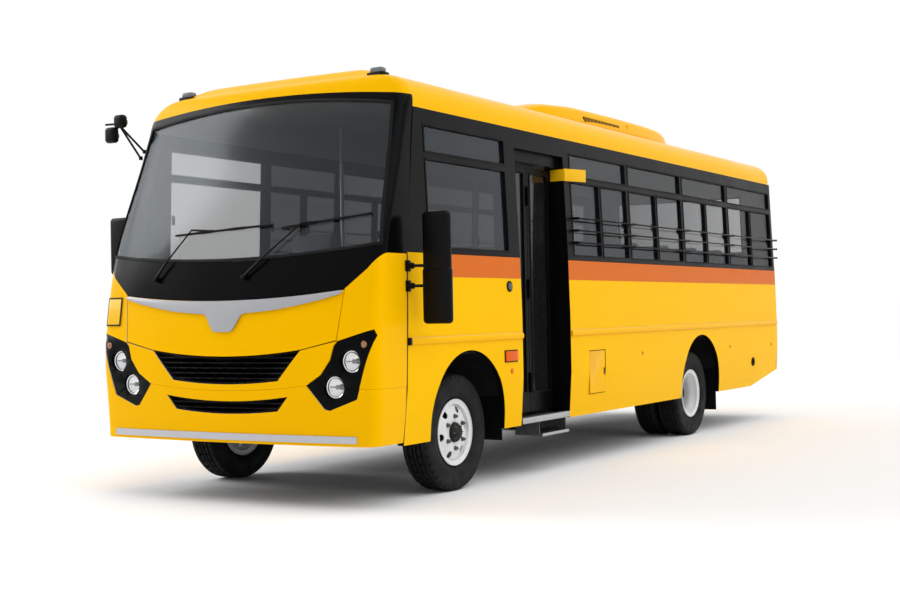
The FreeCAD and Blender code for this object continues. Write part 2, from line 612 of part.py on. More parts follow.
def drive_line():
    """Engine block, propeller shaft, fuel tank and exhaust."""
    engine = Piece("engine")
    front, rear = station(S.engine_front), station(S.engine_front + S.engine_length)
    half = S.engine_width / 2 - S.seam
    engine.pad("top", S.engine_base, S.engine_top, box(-half, front, half, rear))
    gear_rear = rear + S.gearbox_length
    engine.pad("top", S.engine_base + S.seam, S.rail_base + S.rail_height,
               box(-S.gearbox_half, rear - S.seam, S.gearbox_half, gear_rear))
    engine.pad("front", gear_rear - S.overrun, gear_rear + S.overrun,
               ring(0, S.shaft_height, S.yoke_radius))
    mount_half = S.rail_spacing / 2 + S.rail_width / 2 - S.rail_web - S.seat
    mount_front = station(S.engine_front + S.engine_length / 2)
    engine.pad("top", S.rail_base + S.rail_width, S.rail_base + S.rail_width + S.hanger,
               box(-mount_half, mount_front, mount_half, mount_front + S.mount_depth))
    shaft = Piece("prop_shaft")
    axle_nose = station(S.front_axle_at + S.wheelbase) - S.banjo_width
    shaft.pad("front", gear_rear + S.overrun + S.seat, axle_nose - S.seat,
              ring(0, S.shaft_height, S.shaft_radius))
    tank = Piece("fuel_tank")
    tank_outer = S.body_width / 2 - S.skirt_tuck - S.wall - S.seam * 3
    tank_inner = -tank_outer + S.tank_width
    tank_front, tank_rear = station(S.tank_front), station(S.tank_front + S.tank_length)
    tank.pad("side", -tank_outer, tank_inner, box(
        tank_front, S.tank_base, tank_rear, S.tank_base + S.tank_height))
    rail_outer = S.rail_spacing / 2 + S.rail_width / 2
    for spot in (tank_front + S.bracket_wall, tank_rear - S.bracket_wall * 2):
        tank.pad("side", tank_inner - S.seam, -rail_outer - S.seat, box(
            spot, S.rail_base + S.hanger, spot + S.bracket_wall,
            S.rail_base + S.hanger + S.bracket_height))


# Body shell as lofts through plan outlines


class Numbers:
    """Hands out each size of the sheet as a plain number, for free-form shapes."""

    def __getattr__(self, name):
        return float(sheet.get(name))


N = Numbers()


def roof_shares(turn_share):
    """Rise and half width of a roof section, as shares of the whole rise and width."""
    turn = math.pi / 2 * turn_share
    return math.sin(turn) ** ROOF_RISE_POWER, math.cos(turn) ** ROOF_WIDTH_POWER


def roof_end_share(level):
    """How far an end of the roof has run back at a share of its rise."""
    return 1 - math.sqrt(1 - level ** ROOF_END_POWER)


def shell_sections(inset):
    """Height, half width, nose and tail stations of the body shell's sections."""
    half = N.body_width / 2
    length = N.body_length
    lowest = N.skirt_height - N.overrun * 2
    sections = [
        (lowest, half - N.skirt_tuck * SKIRT_FOOT_SHARE, 0, length),
        (N.skirt_height, half - N.skirt_tuck, 0, length),
        (N.waist_low, half, 0, length),
        (N.brow_height, half, 0, length),
        (N.trim_height, half - N.sill_tuck / 3, N.trim_set, length - N.tail_sill_set / 2),
        (N.screen_foot, half - N.sill_tuck, N.screen_foot_set, length - N.tail_sill_set),
        (N.screen_mid_height, half - (N.sill_tuck + N.gutter_tuck) / 2, N.screen_mid_set,
         length - (N.tail_sill_set + N.tail_gutter_set) / 2),
    ]
    rise = N.crown_height - N.gutter_height - inset
    gutter_half = half - N.gutter_tuck
    slope = ((N.gutter_set - N.screen_foot_set) / (N.gutter_height - N.screen_foot))
    for turn_share in ROOF_TURN_SHARES:
        level, width = roof_shares(turn_share)
        height = rise * level
        nose = N.gutter_set + slope * height + N.roof_nose_set * roof_end_share(level)
        tail = length - N.tail_gutter_set - N.roof_tail_set * roof_end_share(level)
        sections.append((N.gutter_height + height, gutter_half * width, nose, tail))
    return sections


def inner_tangent(half, corner, bow, end):
    """Centre of a corner arc and its touching point on the bow, on the +X side."""
    centre_x = half - corner
    bow_centre = end + bow
    drop = math.sqrt((bow - corner) ** 2 - centre_x ** 2)
    centre_y = bow_centre - drop
    scale = bow / (bow - corner)
    return centre_y, centre_x * scale, bow_centre - drop * scale


def plan_outline(height, half, nose, tail, inset):
    """The closed outline of the body at one height, moved inwards by inset."""
    gutter_half = N.body_width / 2 - N.gutter_tuck
    round_share = min(half / gutter_half, 1)
    ends = []
    for corner, bow, end, way in ((N.nose_corner, N.nose_radius, nose, 1),
                                  (N.tail_corner, N.tail_radius, tail, -1)):
        radius = (corner - inset) * round_share
        centre_x = half - inset - radius
        centre_y, touch_x, touch_y = inner_tangent(half - inset, radius, bow - inset, 0)
        base = end - N.body_length / 2 + way * inset
        diagonal = math.atan2(centre_y - touch_y, touch_x - centre_x) / 2
        ends.append({
            "touch": (touch_x, base + way * touch_y),
            "middle": (centre_x + math.cos(diagonal) * radius,
                       base + way * (centre_y - math.sin(diagonal) * radius)),
            "side": (half - inset, base + way * centre_y),
            "crown": (0, base),
        })
    nose_end, tail_end = ends

    def point(end, name, side):
        across, along = end[name]
        return FreeCAD.Vector(across * side, along, height)

    edges = [
        Part.Arc(point(nose_end, "touch", -1), point(nose_end, "crown", 1),
                 point(nose_end, "touch", 1)),
        Part.Arc(point(nose_end, "touch", 1), point(nose_end, "middle", 1),
                 point(nose_end, "side", 1)),
        Part.LineSegment(point(nose_end, "side", 1), point(tail_end, "side", 1)),
        Part.Arc(point(tail_end, "side", 1), point(tail_end, "middle", 1),
                 point(tail_end, "touch", 1)),
        Part.Arc(point(tail_end, "touch", 1), point(tail_end, "crown", 1),
                 point(tail_end, "touch", -1)),
        Part.Arc(point(tail_end, "touch", -1), point(tail_end, "middle", -1),
                 point(tail_end, "side", -1)),
        Part.LineSegment(point(tail_end, "side", -1), point(nose_end, "side", -1)),
        Part.Arc(point(nose_end, "side", -1), point(nose_end, "middle", -1),
                 point(nose_end, "touch", -1)),
    ]
    return Part.Wire([edge.toShape() for edge in edges])


def solid_body(inset):
    """The whole body as one closed block, its skin moved inwards by inset."""
    outlines = [plan_outline(*section, inset) for section in shell_sections(inset)]
    return Part.makeLoft(outlines, True, False)


def foot_of(block):
    """The flat face under a block."""
    return min(block.Faces, key=lambda face: face.CenterOfMass.z)


def shell(out, depth):
    """The body's skin between two insets, open below."""
    outer, inner = solid_body(out), solid_body(out + depth)
    outer_foot, inner_foot = foot_of(outer), foot_of(inner)
    rim = Part.makeFace([outer_foot.OuterWire, inner_foot.OuterWire], "Part::FaceMakerBullseye")
    faces = [face for face in outer.Faces if not face.isSame(outer_foot)]
    faces += [face.reversed() for face in inner.Faces if not face.isSame(inner_foot)]
    skin = Part.makeCompound(faces + [rim])
    skin.sewShape()
    solid = Part.Solid(skin.Shells[0])
    if not solid.isValid():
        solid.fix(N.seat / 100, N.seat / 100, N.seat)
    return solid


def layer(zone, out, depth):
    """The part of a zone that lies between two insets of the body."""
    return zone.common(solid_body(out)).cut(solid_body(out + depth))


def side_prism(points):
    """A block across the whole bus, from an outline of stations and heights."""
    wide = N.body_width
    corners = [FreeCAD.Vector(-wide, at - N.body_length / 2, up) for at, up in points]
    face = Part.Face(Part.makePolygon(corners + corners[:1]))
    return face.extrude(FreeCAD.Vector(wide * 2, 0, 0))


def front_prism(edges, near, far):
    """A block along the bus between two stations, from edges of a front outline."""
    face = Part.Face(Part.Wire([edge.toShape() for edge in edges]))
    face.translate(FreeCAD.Vector(0, near - N.body_length / 2, 0))
    return face.extrude(FreeCAD.Vector(0, far - near, 0))


def face_point(across, up):
    """A point of a front outline."""
    return FreeCAD.Vector(across, 0, up)


def polygon_edges(points):
    """Straight edges through the points of a front outline, closed."""
    corners = [face_point(*point) for point in points]
    return [Part.LineSegment(one, two) for one, two in zip(corners, corners[1:] + corners[:1])]


def band(low, high, gap=0):
    """An outline with a curved foot and head, each (half width, side height, mid height)."""
    low_half, low_side, low_mid = low
    high_half, high_side, high_mid = high
    low_half, high_half = low_half - gap, high_half - gap
    low_side, low_mid = low_side + gap, low_mid + gap
    high_side, high_mid = high_side - gap, high_mid - gap
    return [
        Part.Arc(face_point(-low_half, low_side), face_point(0, low_mid),
                 face_point(low_half, low_side)),
        Part.LineSegment(face_point(low_half, low_side), face_point(high_half, high_side)),
        Part.Arc(face_point(high_half, high_side), face_point(0, high_mid),
                 face_point(-high_half, high_side)),
        Part.LineSegment(face_point(-high_half, high_side), face_point(-low_half, low_side)),
    ]


def screen_outline(gap=0):
    """The windscreen's edge."""
    return band((N.screen_half_low, N.screen_low_side, N.screen_low_mid),
                (N.screen_half_high, N.screen_high_side, N.screen_high_mid), gap)


def grille_outline(gap=0):
    """The upper grille's edge."""
    return band((N.grille_half_low, N.grille_low_side, N.grille_low_mid),
                (N.grille_half_high, N.grille_high_side, N.grille_high_mid), gap)


def intake_outline(gap=0):
    """The edge of the air intake in the bumper."""
    return band((N.intake_half_low, N.intake_low_side, N.intake_low_mid),
                (N.intake_half_high, N.intake_high_side, N.intake_high_mid), gap)


def flap_outline(gap=0):
    """The edge of the front flap, from the trim down to the grille."""
    top_half, top_side, top_mid = N.flap_half_high - gap, N.flap_side_height - gap, \
        N.flap_mid_height - gap
    low_half, low_side = N.flap_half_low - gap, N.flap_low_side + gap
    foot_half, foot_side, foot_mid = N.grille_half_high, N.grille_high_side + gap, \
        N.grille_high_mid + gap
    return [
        Part.Arc(face_point(-foot_half, foot_side), face_point(0, foot_mid),
                 face_point(foot_half, foot_side)),
        Part.LineSegment(face_point(foot_half, foot_side), face_point(low_half, low_side)),
        Part.LineSegment(face_point(low_half, low_side), face_point(top_half, top_side)),
        Part.Arc(face_point(top_half, top_side), face_point(0, top_mid),
                 face_point(-top_half, top_side)),
        Part.LineSegment(face_point(-top_half, top_side), face_point(-low_half, low_side)),
        Part.LineSegment(face_point(-low_half, low_side), face_point(-foot_half, foot_side)),
    ]


def lamp_outline(side, gap=0):
    """The faceted edge of one lamp housing."""
    radius = N.lamp_radius
    lower_x, lower_z, upper_x, upper_z = (N.lower_lamp_x, N.lower_lamp_z, N.upper_lamp_x,
                                          N.upper_lamp_z)

    def corner(across, up, shares):
        return across + radius * shares[0], up + radius * shares[1]

    toe, heel = corner(lower_x, lower_z, TOE_SHARES), corner(lower_x, lower_z, HEEL_SHARES)
    cheek, ear = corner(upper_x, lower_z, CHEEK_SHARES), corner(upper_x, N.indicator_z, EAR_SHARES)
    crest = corner(upper_x, N.indicator_z, CREST_SHARES)
    neck = corner(N.flap_half_low, upper_z, NECK_SHARES)
    brow, cuff = corner(lower_x, upper_z, BROW_SHARES), corner(lower_x, lower_z, CUFF_SHARES)
    points = [
        (N.fascia_half_low + gap, N.fascia_low_side), (toe[0] + gap, toe[1] + gap),
        (heel[0], heel[1] + gap), (cheek[0] - gap, cheek[1]), (ear[0] - gap, ear[1]),
        (crest[0] - gap, crest[1] - gap), (N.flap_half_low + gap, N.flap_low_side - gap),
        (neck[0] + gap, neck[1]), (brow[0] + gap, brow[1]), (cuff[0] + gap, cuff[1]),
    ]
    return polygon_edges([(across * side, up) for across, up in points])


def cowl_line(gap):
    """The lower edge of the black surround, from one side to the other."""
    wide = N.body_width
    points = [(wide, N.cowl_side_height + gap), (N.body_width / 2, N.cowl_side_height + gap),
              (N.cowl_knee_half, N.cowl_knee_height + gap),
              (N.flap_half_high, N.flap_side_height + gap)]
    return points, N.flap_mid_height + gap


def above_cowl(top_edges, gap):
    """The outline of everything above the cowl line, up to the given top points."""
    points, middle = cowl_line(gap)
    corners = [face_point(*point) for point in points]
    mirrored = [face_point(-across, up) for across, up in points]
    edges = [Part.Arc(mirrored[-1], face_point(0, middle), corners[-1])]
    edges += [Part.LineSegment(one, two)
              for one, two in zip(reversed(corners), list(reversed(corners))[1:])]
    top_points = [face_point(*point) for point in top_edges]
    chain = [corners[0]] + top_points[:1]
    edges.append(Part.LineSegment(chain[0], chain[1]))
    edges.append(Part.LineSegment(top_points[0], top_points[1]))
    edges.append(Part.Arc(top_points[1], top_points[2], top_points[3]))
    edges.append(Part.LineSegment(top_points[3], top_points[4]))
    edges.append(Part.LineSegment(top_points[4], mirrored[0]))
    edges += [Part.LineSegment(one, two) for one, two in zip(mirrored, mirrored[1:])]
    return edges


def surround_outline(gap):
    """The outer edge of the black surround of the windscreen."""
    wide, side = N.body_width, N.surround_high_side
    half, middle = N.surround_half_high, N.surround_high_mid
    top = [(wide, side - N.wall), (half, side), (0, middle), (-half, side), (-wide, side - N.wall)]
    return above_cowl(top, gap)


def nose_region():
    """Everything ahead of the seam between the nose and the side walls."""
    seat, over = N.seat, N.overrun
    return side_prism([
        (-over, N.bumper_height), (N.nose_seam_low - seat, N.bumper_height),
        (N.nose_seam_sill - seat, N.sill_height),
        (N.nose_seam_top - seat, N.gutter_height + N.wall),
        (N.nose_seam_top - seat, N.crown_height + over), (-over, N.crown_height + over)])


def one_solid(shape):
    """The largest solid of a shape, or the shape when it has several of one size."""
    solids = sorted(shape.Solids, key=lambda solid: solid.Volume, reverse=True)
    return Part.makeCompound([solid for solid in solids if solid.Volume > N.overrun])


def front_face():
    """Nose panels, flap, grilles, lamp housings and windscreen, cut from the shell."""
    near, far = -N.overrun, N.nose_seam_top
    skin = shell(0, N.skin)
    region = nose_region()
    screen = front_prism(screen_outline(), near, far)
    surround = front_prism(surround_outline(N.seat), near, far).common(region)
    keep_shape("windscreen_surround", one_solid(skin.common(surround.cut(screen))))
    pane = front_prism(screen_outline(N.seat), near, far)
    keep_shape("windshield", one_solid(layer(pane, N.screen_inset, N.glass)))
    below = region.cut(front_prism(surround_outline(0), near, far))
    below = below.common(side_prism([
        (near, 0), (far, 0), (far, N.gutter_height - N.overrun),
        (near, N.gutter_height - N.overrun)]))
    for side in (1, -1):
        below = below.cut(front_prism(lamp_outline(side), near, far))
    bumper_zone = front_prism(bumper_edges(), near, far)
    bumper = below.common(bumper_zone).cut(front_prism(intake_outline(), near, far))
    keep_shape("front_bumper", one_solid(skin.common(bumper)))
    lifted = bumper_zone.copy()
    lifted.translate(FreeCAD.Vector(0, 0, N.seat))
    panel = below.cut(lifted).cut(front_prism(flap_outline(), near, far))
    panel = panel.cut(front_prism(grille_outline(), near, far))
    keep_shape("front_panel", one_solid(skin.common(panel)))
    flap = front_prism(flap_outline(N.flap_gap), near, far)
    keep_shape("front_flap", one_solid(skin.common(flap)))
    keep_shape("front_trim", front_trim(near, far))
    keep_shape("grilles", grilles(near, far))
    keep_shape("lamp_housings", lamp_housings(near))
    return skin


def bumper_edges():
    """The front outline of the bumper, up to its seam with the panel above."""
    wide, half, side = N.body_width, N.fascia_half_low, N.fascia_low_side
    knee, seam = N.upper_lamp_x, N.corner_seam_height
    points = [(half, side), (knee, seam), (wide, seam), (wide, 0), (-wide, 0), (-wide, seam),
              (-knee, seam), (-half, side)]
    corners = [face_point(*point) for point in points]
    edges = [Part.LineSegment(one, two) for one, two in zip(corners, corners[1:])]
    edges.append(Part.Arc(corners[-1], face_point(0, N.fascia_low_mid), corners[0]))
    return edges


def front_trim(near, far):
    """The metal strip along the flap's head, with a bare shield in its middle."""
    depth = N.trim_depth
    gap = N.flap_gap + N.seam / 2
    head = (N.flap_half_high - gap, N.flap_side_height - gap, N.flap_mid_height - gap)
    foot = (N.flap_half_high - gap - N.seam, N.flap_side_height - N.trim_tip,
            N.flap_mid_height - depth)
    strip = front_prism(band(foot, head), near, far)
    half, low = N.shield_half, N.shield_low
    high = N.flap_mid_height - depth
    waist, tip = half * SHIELD_WAIST_SHARE, half * SHIELD_TIP_SHARE
    shield = front_prism(polygon_edges([
        (-half, high + N.seam), (-waist, (high + low) / 2), (-tip, low), (tip, low),
        (waist, (high + low) / 2), (half, high + N.seam)]), near, far)
    return one_solid(layer(strip.fuse(shield), -N.trim_proud, N.trim_proud - N.seat))


def slats(outline, low, high):
    """Fins of a grille between two heights, as blocks across its opening."""
    blocks = []
    height = low
    while height < high:
        blocks.append(side_prism([(-N.overrun, height), (N.nose_seam_low, height),
                                  (N.nose_seam_low, height + N.slat_wall),
                                  (-N.overrun, height + N.slat_wall)]))
        height += N.slat_pitch
    return Part.makeCompound(blocks).common(outline)


def grilles(near, far):
    """Both black grilles, and the striker on which the flap's lower edge rests."""
    pieces = []
    for outline, low, high in ((grille_outline, N.grille_low_mid, N.grille_high_side),
                               (intake_outline, N.intake_low_mid, N.intake_high_side)):
        inside = front_prism(outline(N.seat), near, far)
        rim = inside.cut(front_prism(outline(N.grille_wall), near, far))
        ribs = rim.fuse(slats(inside, low + N.slat_pitch, high).Solids)
        fins = layer(ribs, N.seam * 2, N.grille_set - N.seam)
        pieces.append(one_solid(layer(inside, N.grille_set, N.grille_wall).fuse(fins)))
    half, low, high = N.striker_half, N.striker_low, N.striker_high
    striker = front_prism(polygon_edges([
        (-half, low), (half, low), (half, high), (-half, high)]), near, far)
    plate = layer(striker, N.skin + N.seat, N.grille_set + N.grille_wall - N.skin)
    pieces[0] = one_solid(pieces[0].fuse(plate))
    return Part.makeCompound(pieces)


def lamp_cylinder(across, up, radius, front, depth, side):
    """A round block that points ahead, its face so far behind the front skin."""
    base = FreeCAD.Vector(across * side, front - N.body_length / 2, up)
    return Part.makeCylinder(radius, depth, base, FreeCAD.Vector(0, 1, 0))


def lamp_front(across):
    """The station of a lamp's face, set back from the skin."""
    bow = N.nose_radius - math.sqrt(N.nose_radius ** 2 - across ** 2)
    return bow + N.lamp_set


def lamp_housings(near):
    """Two faceted black housings with round pockets for the lamps."""
    pieces = []
    for side in (1, -1):
        block = front_prism(lamp_outline(side, N.seat), near, N.housing_depth)
        for across, up in ((N.upper_lamp_x, N.upper_lamp_z), (N.lower_lamp_x, N.lower_lamp_z)):
            front = lamp_front(across)
            block = block.cut(lamp_cylinder(across, up, N.lamp_radius + N.seam, front - N.overrun,
                                            N.overrun + N.lamp_set, side))
        pieces.append(one_solid(block.common(solid_body(N.seam * 2))))
    return Part.makeCompound(pieces)


def lamps():
    """Four round lamps in the housings and two marker lamps on the roof."""
    shapes = []
    half = N.marker_half
    above = solid_body(-N.seat)
    for side in (1, -1):
        for across, up in ((N.upper_lamp_x, N.upper_lamp_z), (N.lower_lamp_x, N.lower_lamp_z)):
            front = lamp_front(across)
            shapes.append(lamp_cylinder(across, up, N.lamp_radius, front,
                                        N.lamp_set - N.seat, side))
        corner = FreeCAD.Vector(N.marker_x * side - half,
                                N.marker_station - half - N.body_length / 2,
                                N.marker_height - half)
        marker = Part.makeBox(half * 2, half * 2, half * 2, corner)
        shapes.append(one_solid(marker.cut(above)))
    keep_shape("lamps", Part.makeCompound(shapes))


def tail_and_roof(skin):
    """The tail with its window, and the roof."""
    over, length = N.overrun, N.body_length
    low_share = (N.tail_seam - N.tail_rise) / (length - N.tail_rise)
    seam_foot = N.skirt_height + (N.tail_foot - N.skirt_height) * low_share
    head = N.gutter_height - N.seat
    zone = side_prism([(N.tail_seam + N.seat, seam_foot), (length + over, N.tail_foot),
                       (length + over, head), (N.tail_seam + N.seat, head)])
    near, far = N.tail_seam - over, length + over
    half = N.screen_half_high * TAIL_PANE_SHARE

    def pane(gap):
        return front_prism(polygon_edges([
            (gap - half, N.pane_low + gap), (half - gap, N.pane_low + gap),
            (half - gap, N.pane_high - gap), (gap - half, N.pane_high - gap)]), near, far)

    keep_shape("rear_shell", one_solid(skin.common(zone.cut(pane(0)))))
    keep_shape("rear_window", one_solid(layer(pane(N.seat), N.seam * 2, N.glass)))
    roof_zone = side_prism([(-over, N.gutter_height), (length + over, N.gutter_height),
                            (length + over, N.crown_height + over),
                            (-over, N.crown_height + over)])
    nose_top = front_prism(surround_outline(0), -over, N.nose_seam_top)
    keep_shape("roof", one_solid(skin.common(roof_zone.cut(nose_top))))


# Side walls and windows


def wall_section(side):
    """The outline of a side wall, seen from the front."""
    half = S.body_width / 2
    outer = [(half - S.skirt_tuck, S.skirt_height), (half, S.waist_low), (half, S.waist_high),
             (half - S.sill_tuck, S.sill_height)]
    inner = [(across - S.wall, up) for across, up in reversed(outer)]
    return poly(*[(across * side, up) for across, up in outer + inner])


def cut_arch(wall, side, at):
    """Cut a wheel arch with straight feet and a round head."""
    low, high = span(side, S.body_width / 2 - S.wall * 2, S.body_width / 2 + S.wall)
    middle = station(at)
    wall.pocket("side", low, high, ring(middle, S.arch_height, S.arch_radius))
    wall.pocket("side", low, high, box(middle - S.arch_radius, S.skirt_height - S.overrun,
                                       middle + S.arch_radius, S.arch_height))


def cut_front_seam(wall, side):
    """Lean a wall's front edge like the nose's rear edge."""
    low, high = span(side, S.body_width / 2 - S.wall * 2, S.body_width / 2 + S.wall)
    foot, head = station(S.nose_seam_low), station(S.nose_seam_sill)
    wall.pocket("side", low, high, poly(
        (foot, S.skirt_height), (head, S.sill_height), (head, S.sill_height + S.overrun),
        (foot - S.overrun, S.sill_height + S.overrun), (foot - S.overrun, S.skirt_height)))


def cut_tail_rise(wall, side):
    """Lift the skirt towards the tail."""
    low, high = span(side, S.body_width / 2 - S.wall * 2, S.body_width / 2 + S.wall)
    start, end = station(S.tail_rise), station(S.body_length)
    wall.pocket("side", low, high, poly(
        (start, S.skirt_height), (start, S.skirt_height - S.overrun),
        (end, S.skirt_height - S.overrun), (end, S.tail_foot)))


def side_walls():
    """The lower side walls: two on the door side and one on the other."""
    near, far = S.body_width / 2 - S.wall * 2, S.body_width / 2 + S.wall
    rear_arch = S.front_axle_at + S.wheelbase
    front = Piece("side_left_front")
    front.pad("front", station(S.nose_seam_low), station(S.door_front), wall_section(1))
    cut_front_seam(front, 1)
    cut_arch(front, 1, S.front_axle_at)
    rear = Piece("side_left_rear")
    rear.pad("front", station(S.door_rear), station(S.tail_seam), wall_section(1))
    cut_arch(rear, 1, rear_arch)
    cut_tail_rise(rear, 1)
    rear.pocket("side", near, far, box(station(S.flap_front), S.flap_low,
                                       station(S.flap_rear), S.flap_high))
    rear.pocket("side", near, far, ring(station(S.pipe_station), S.pipe_height,
                                        S.pipe_radius + S.seam))
    right = Piece("side_right")
    right.pad("front", station(S.nose_seam_low), station(S.tail_seam), wall_section(-1))
    cut_front_seam(right, -1)
    cut_arch(right, -1, S.front_axle_at)
    cut_arch(right, -1, rear_arch)
    cut_tail_rise(right, -1)
    flap = Piece("service_flap")
    outer, gap = S.body_width / 2 - S.seam, S.flap_gap
    flap.pad("side", outer - S.skin, outer, box(
        station(S.flap_front) + gap, S.flap_low + gap,
        station(S.flap_rear) - gap, S.flap_high - gap))
    pin_x, pin_y = outer + gap / 2, station(S.flap_front) + gap / 2
    for shape in (ring(pin_x, pin_y, gap / 2 - S.seat),
                  box(outer - gap / 3, pin_y, pin_x, pin_y + gap)):
        flap.pad("top", S.flap_low + gap, S.flap_high - gap, shape)
    belts = Piece("belt_mouldings")
    inner, middle = S.body_width / 2 + S.seat, (S.belt_low + S.belt_high) / 2
    edge, shoulder = S.belt_edge, inner + S.belt_proud * BELT_EDGE_SHARE
    outline = [(inner, S.belt_low), (shoulder, S.belt_low + edge),
               (inner + S.belt_proud, middle), (shoulder, S.belt_high - edge),
               (inner, S.belt_high)]
    begin = station(S.nose_seam_sill)
    end = station(S.tail_seam)
    for side, low, high in ((1, begin, station(S.door_front) - edge),
                            (1, station(S.door_rear) + edge, end), (-1, begin, end)):
        belts.pad("front", low, high, poly(*[(across * side, up) for across, up in outline]))


def lean_onto_wall(piece, side):
    """Stand a flat frame on the sill and lean it in like the body side."""
    rise = S.gutter_height - S.sill_height
    tuck = S.gutter_tuck - S.sill_tuck
    angle = Size(math.degrees(math.atan2(float(tuck), float(rise))),
                 f"atan2({tuck.text}; {rise.text})")
    turn = -angle * side
    piece.body.Placement = FreeCAD.Placement(
        FreeCAD.Vector(float((S.body_width / 2 - S.sill_tuck) * side), 0, float(S.sill_height)),
        FreeCAD.Rotation(FreeCAD.Vector(0, 1, 0), float(turn)))
    piece.body.setExpression("Placement.Base.x", ((S.body_width / 2 - S.sill_tuck) * side).text)
    piece.body.setExpression("Placement.Base.z", S.sill_height.text)
    piece.body.setExpression("Placement.Rotation.Angle", turn.text)


def window_columns(side):
    """Front and rear stations of each column of panes behind the cab, and its kind."""
    half = S.pillar_width / 2
    marks = [S.first_pane - half, S.pillar_one, S.pillar_two, S.pillar_three,
             S.last_pane + half]
    if side < 0:
        marks = [S.cab_pane_rear + half * 2, *marks]
    return [(front + half, rear - half) for front, rear in zip(marks, marks[1:])]


def pane_boxes(side):
    """Every pane of one side, as rectangles over its sill."""
    sill = S.sill_height
    low, high = S.pane_low - sill, S.pane_high - sill
    rail_low, rail_high = S.midrail_low - sill, S.midrail_high - sill
    boxes = [(S.cab_pane_front, low, S.cab_pane_rear, rail_low),
             (S.cab_pane_front, rail_high, S.cab_pane_rear, high)]
    for front, rear in window_columns(side):
        middle = (front + rear) / 2
        boxes.append((front, low, middle - S.stile / 2, rail_low))
        boxes.append((middle + S.stile / 2, low, rear, rail_low))
        boxes.append((front, rail_high, rear, high))
    return boxes


def window_frames():
    """Black window frames of both sides, with panes in every opening."""
    sides = []
    for side, name in ((1, "left"), (-1, "right")):
        frame = Piece(f"window_frame_{name}")
        rise, tuck = S.gutter_height - S.sill_height, S.gutter_tuck - S.sill_tuck
        foot = S.seat + S.frame_wall * tuck / rise
        head = rise + tuck * tuck / rise / 2 - S.seat
        low, high = span(side, -S.frame_wall, 0 * S.frame_wall)
        over = S.overrun
        frame.pad("side", low, high, poly(
            (station(S.nose_seam_sill), foot), (station(S.tail_seam), foot),
            (station(S.tail_seam), head), (station(S.nose_seam_top), head)))
        cut_low, cut_high = low - over, high + over
        for front, bottom, rear, top in pane_boxes(side):
            frame.pocket("side", cut_low, cut_high, box(station(front), bottom, station(rear), top))
        if side > 0:
            frame.pocket("side", cut_low, cut_high, box(
                station(S.door_front), foot - over, station(S.door_rear),
                S.door_head - S.sill_height))
        lean_onto_wall(frame, side)
        panes = Piece(f"panes_{name}")
        middle = -S.frame_wall / 2
        pane_low, pane_high = span(side, middle - S.glass / 2, middle + S.glass / 2)
        shapes = [box(station(front) + S.seat, bottom + S.seat, station(rear) - S.seat, top - S.seat)
                  for front, bottom, rear, top in pane_boxes(side)]
        panes.pad("side", pane_low, pane_high, *shapes)
        lean_onto_wall(panes, side)
        sides.append(panes)
    keep_pair("side_windows", sides)


def window_bars():
    """Three guard bars outside the passenger windows of each side."""
    sides = []
    for side, name in ((1, "left"), (-1, "right")):
        bars = Piece(f"bars_{name}")
        out = S.bar_out * side
        front = S.bar_front if side > 0 else S.cab_pane_rear + S.pillar_width
        for step in range(BAR_ROWS):
            up = S.bar_low - S.sill_height + S.bar_pitch * step
            bars.pad("front", station(front), station(S.bar_rear), ring(out, up, S.bar_radius))
        marks = [front + S.pillar_width / 2, S.pillar_one, S.pillar_two, S.pillar_three,
                 S.bar_rear - S.pillar_width / 4]
        low, high = span(side, S.seat, S.bar_out)
        foot = S.bar_low - S.sill_height - S.bar_radius * 2
        head = foot + S.bar_pitch * (BAR_ROWS - 1) + S.bar_radius * 4
        for at in marks:
            bars.pad("side", low, high, box(station(at) - S.bar_radius, foot,
                                            station(at) + S.bar_radius, head))
        lean_onto_wall(bars, side)
        sides.append(bars)
    keep_pair("window_bars", sides)


# Doorway


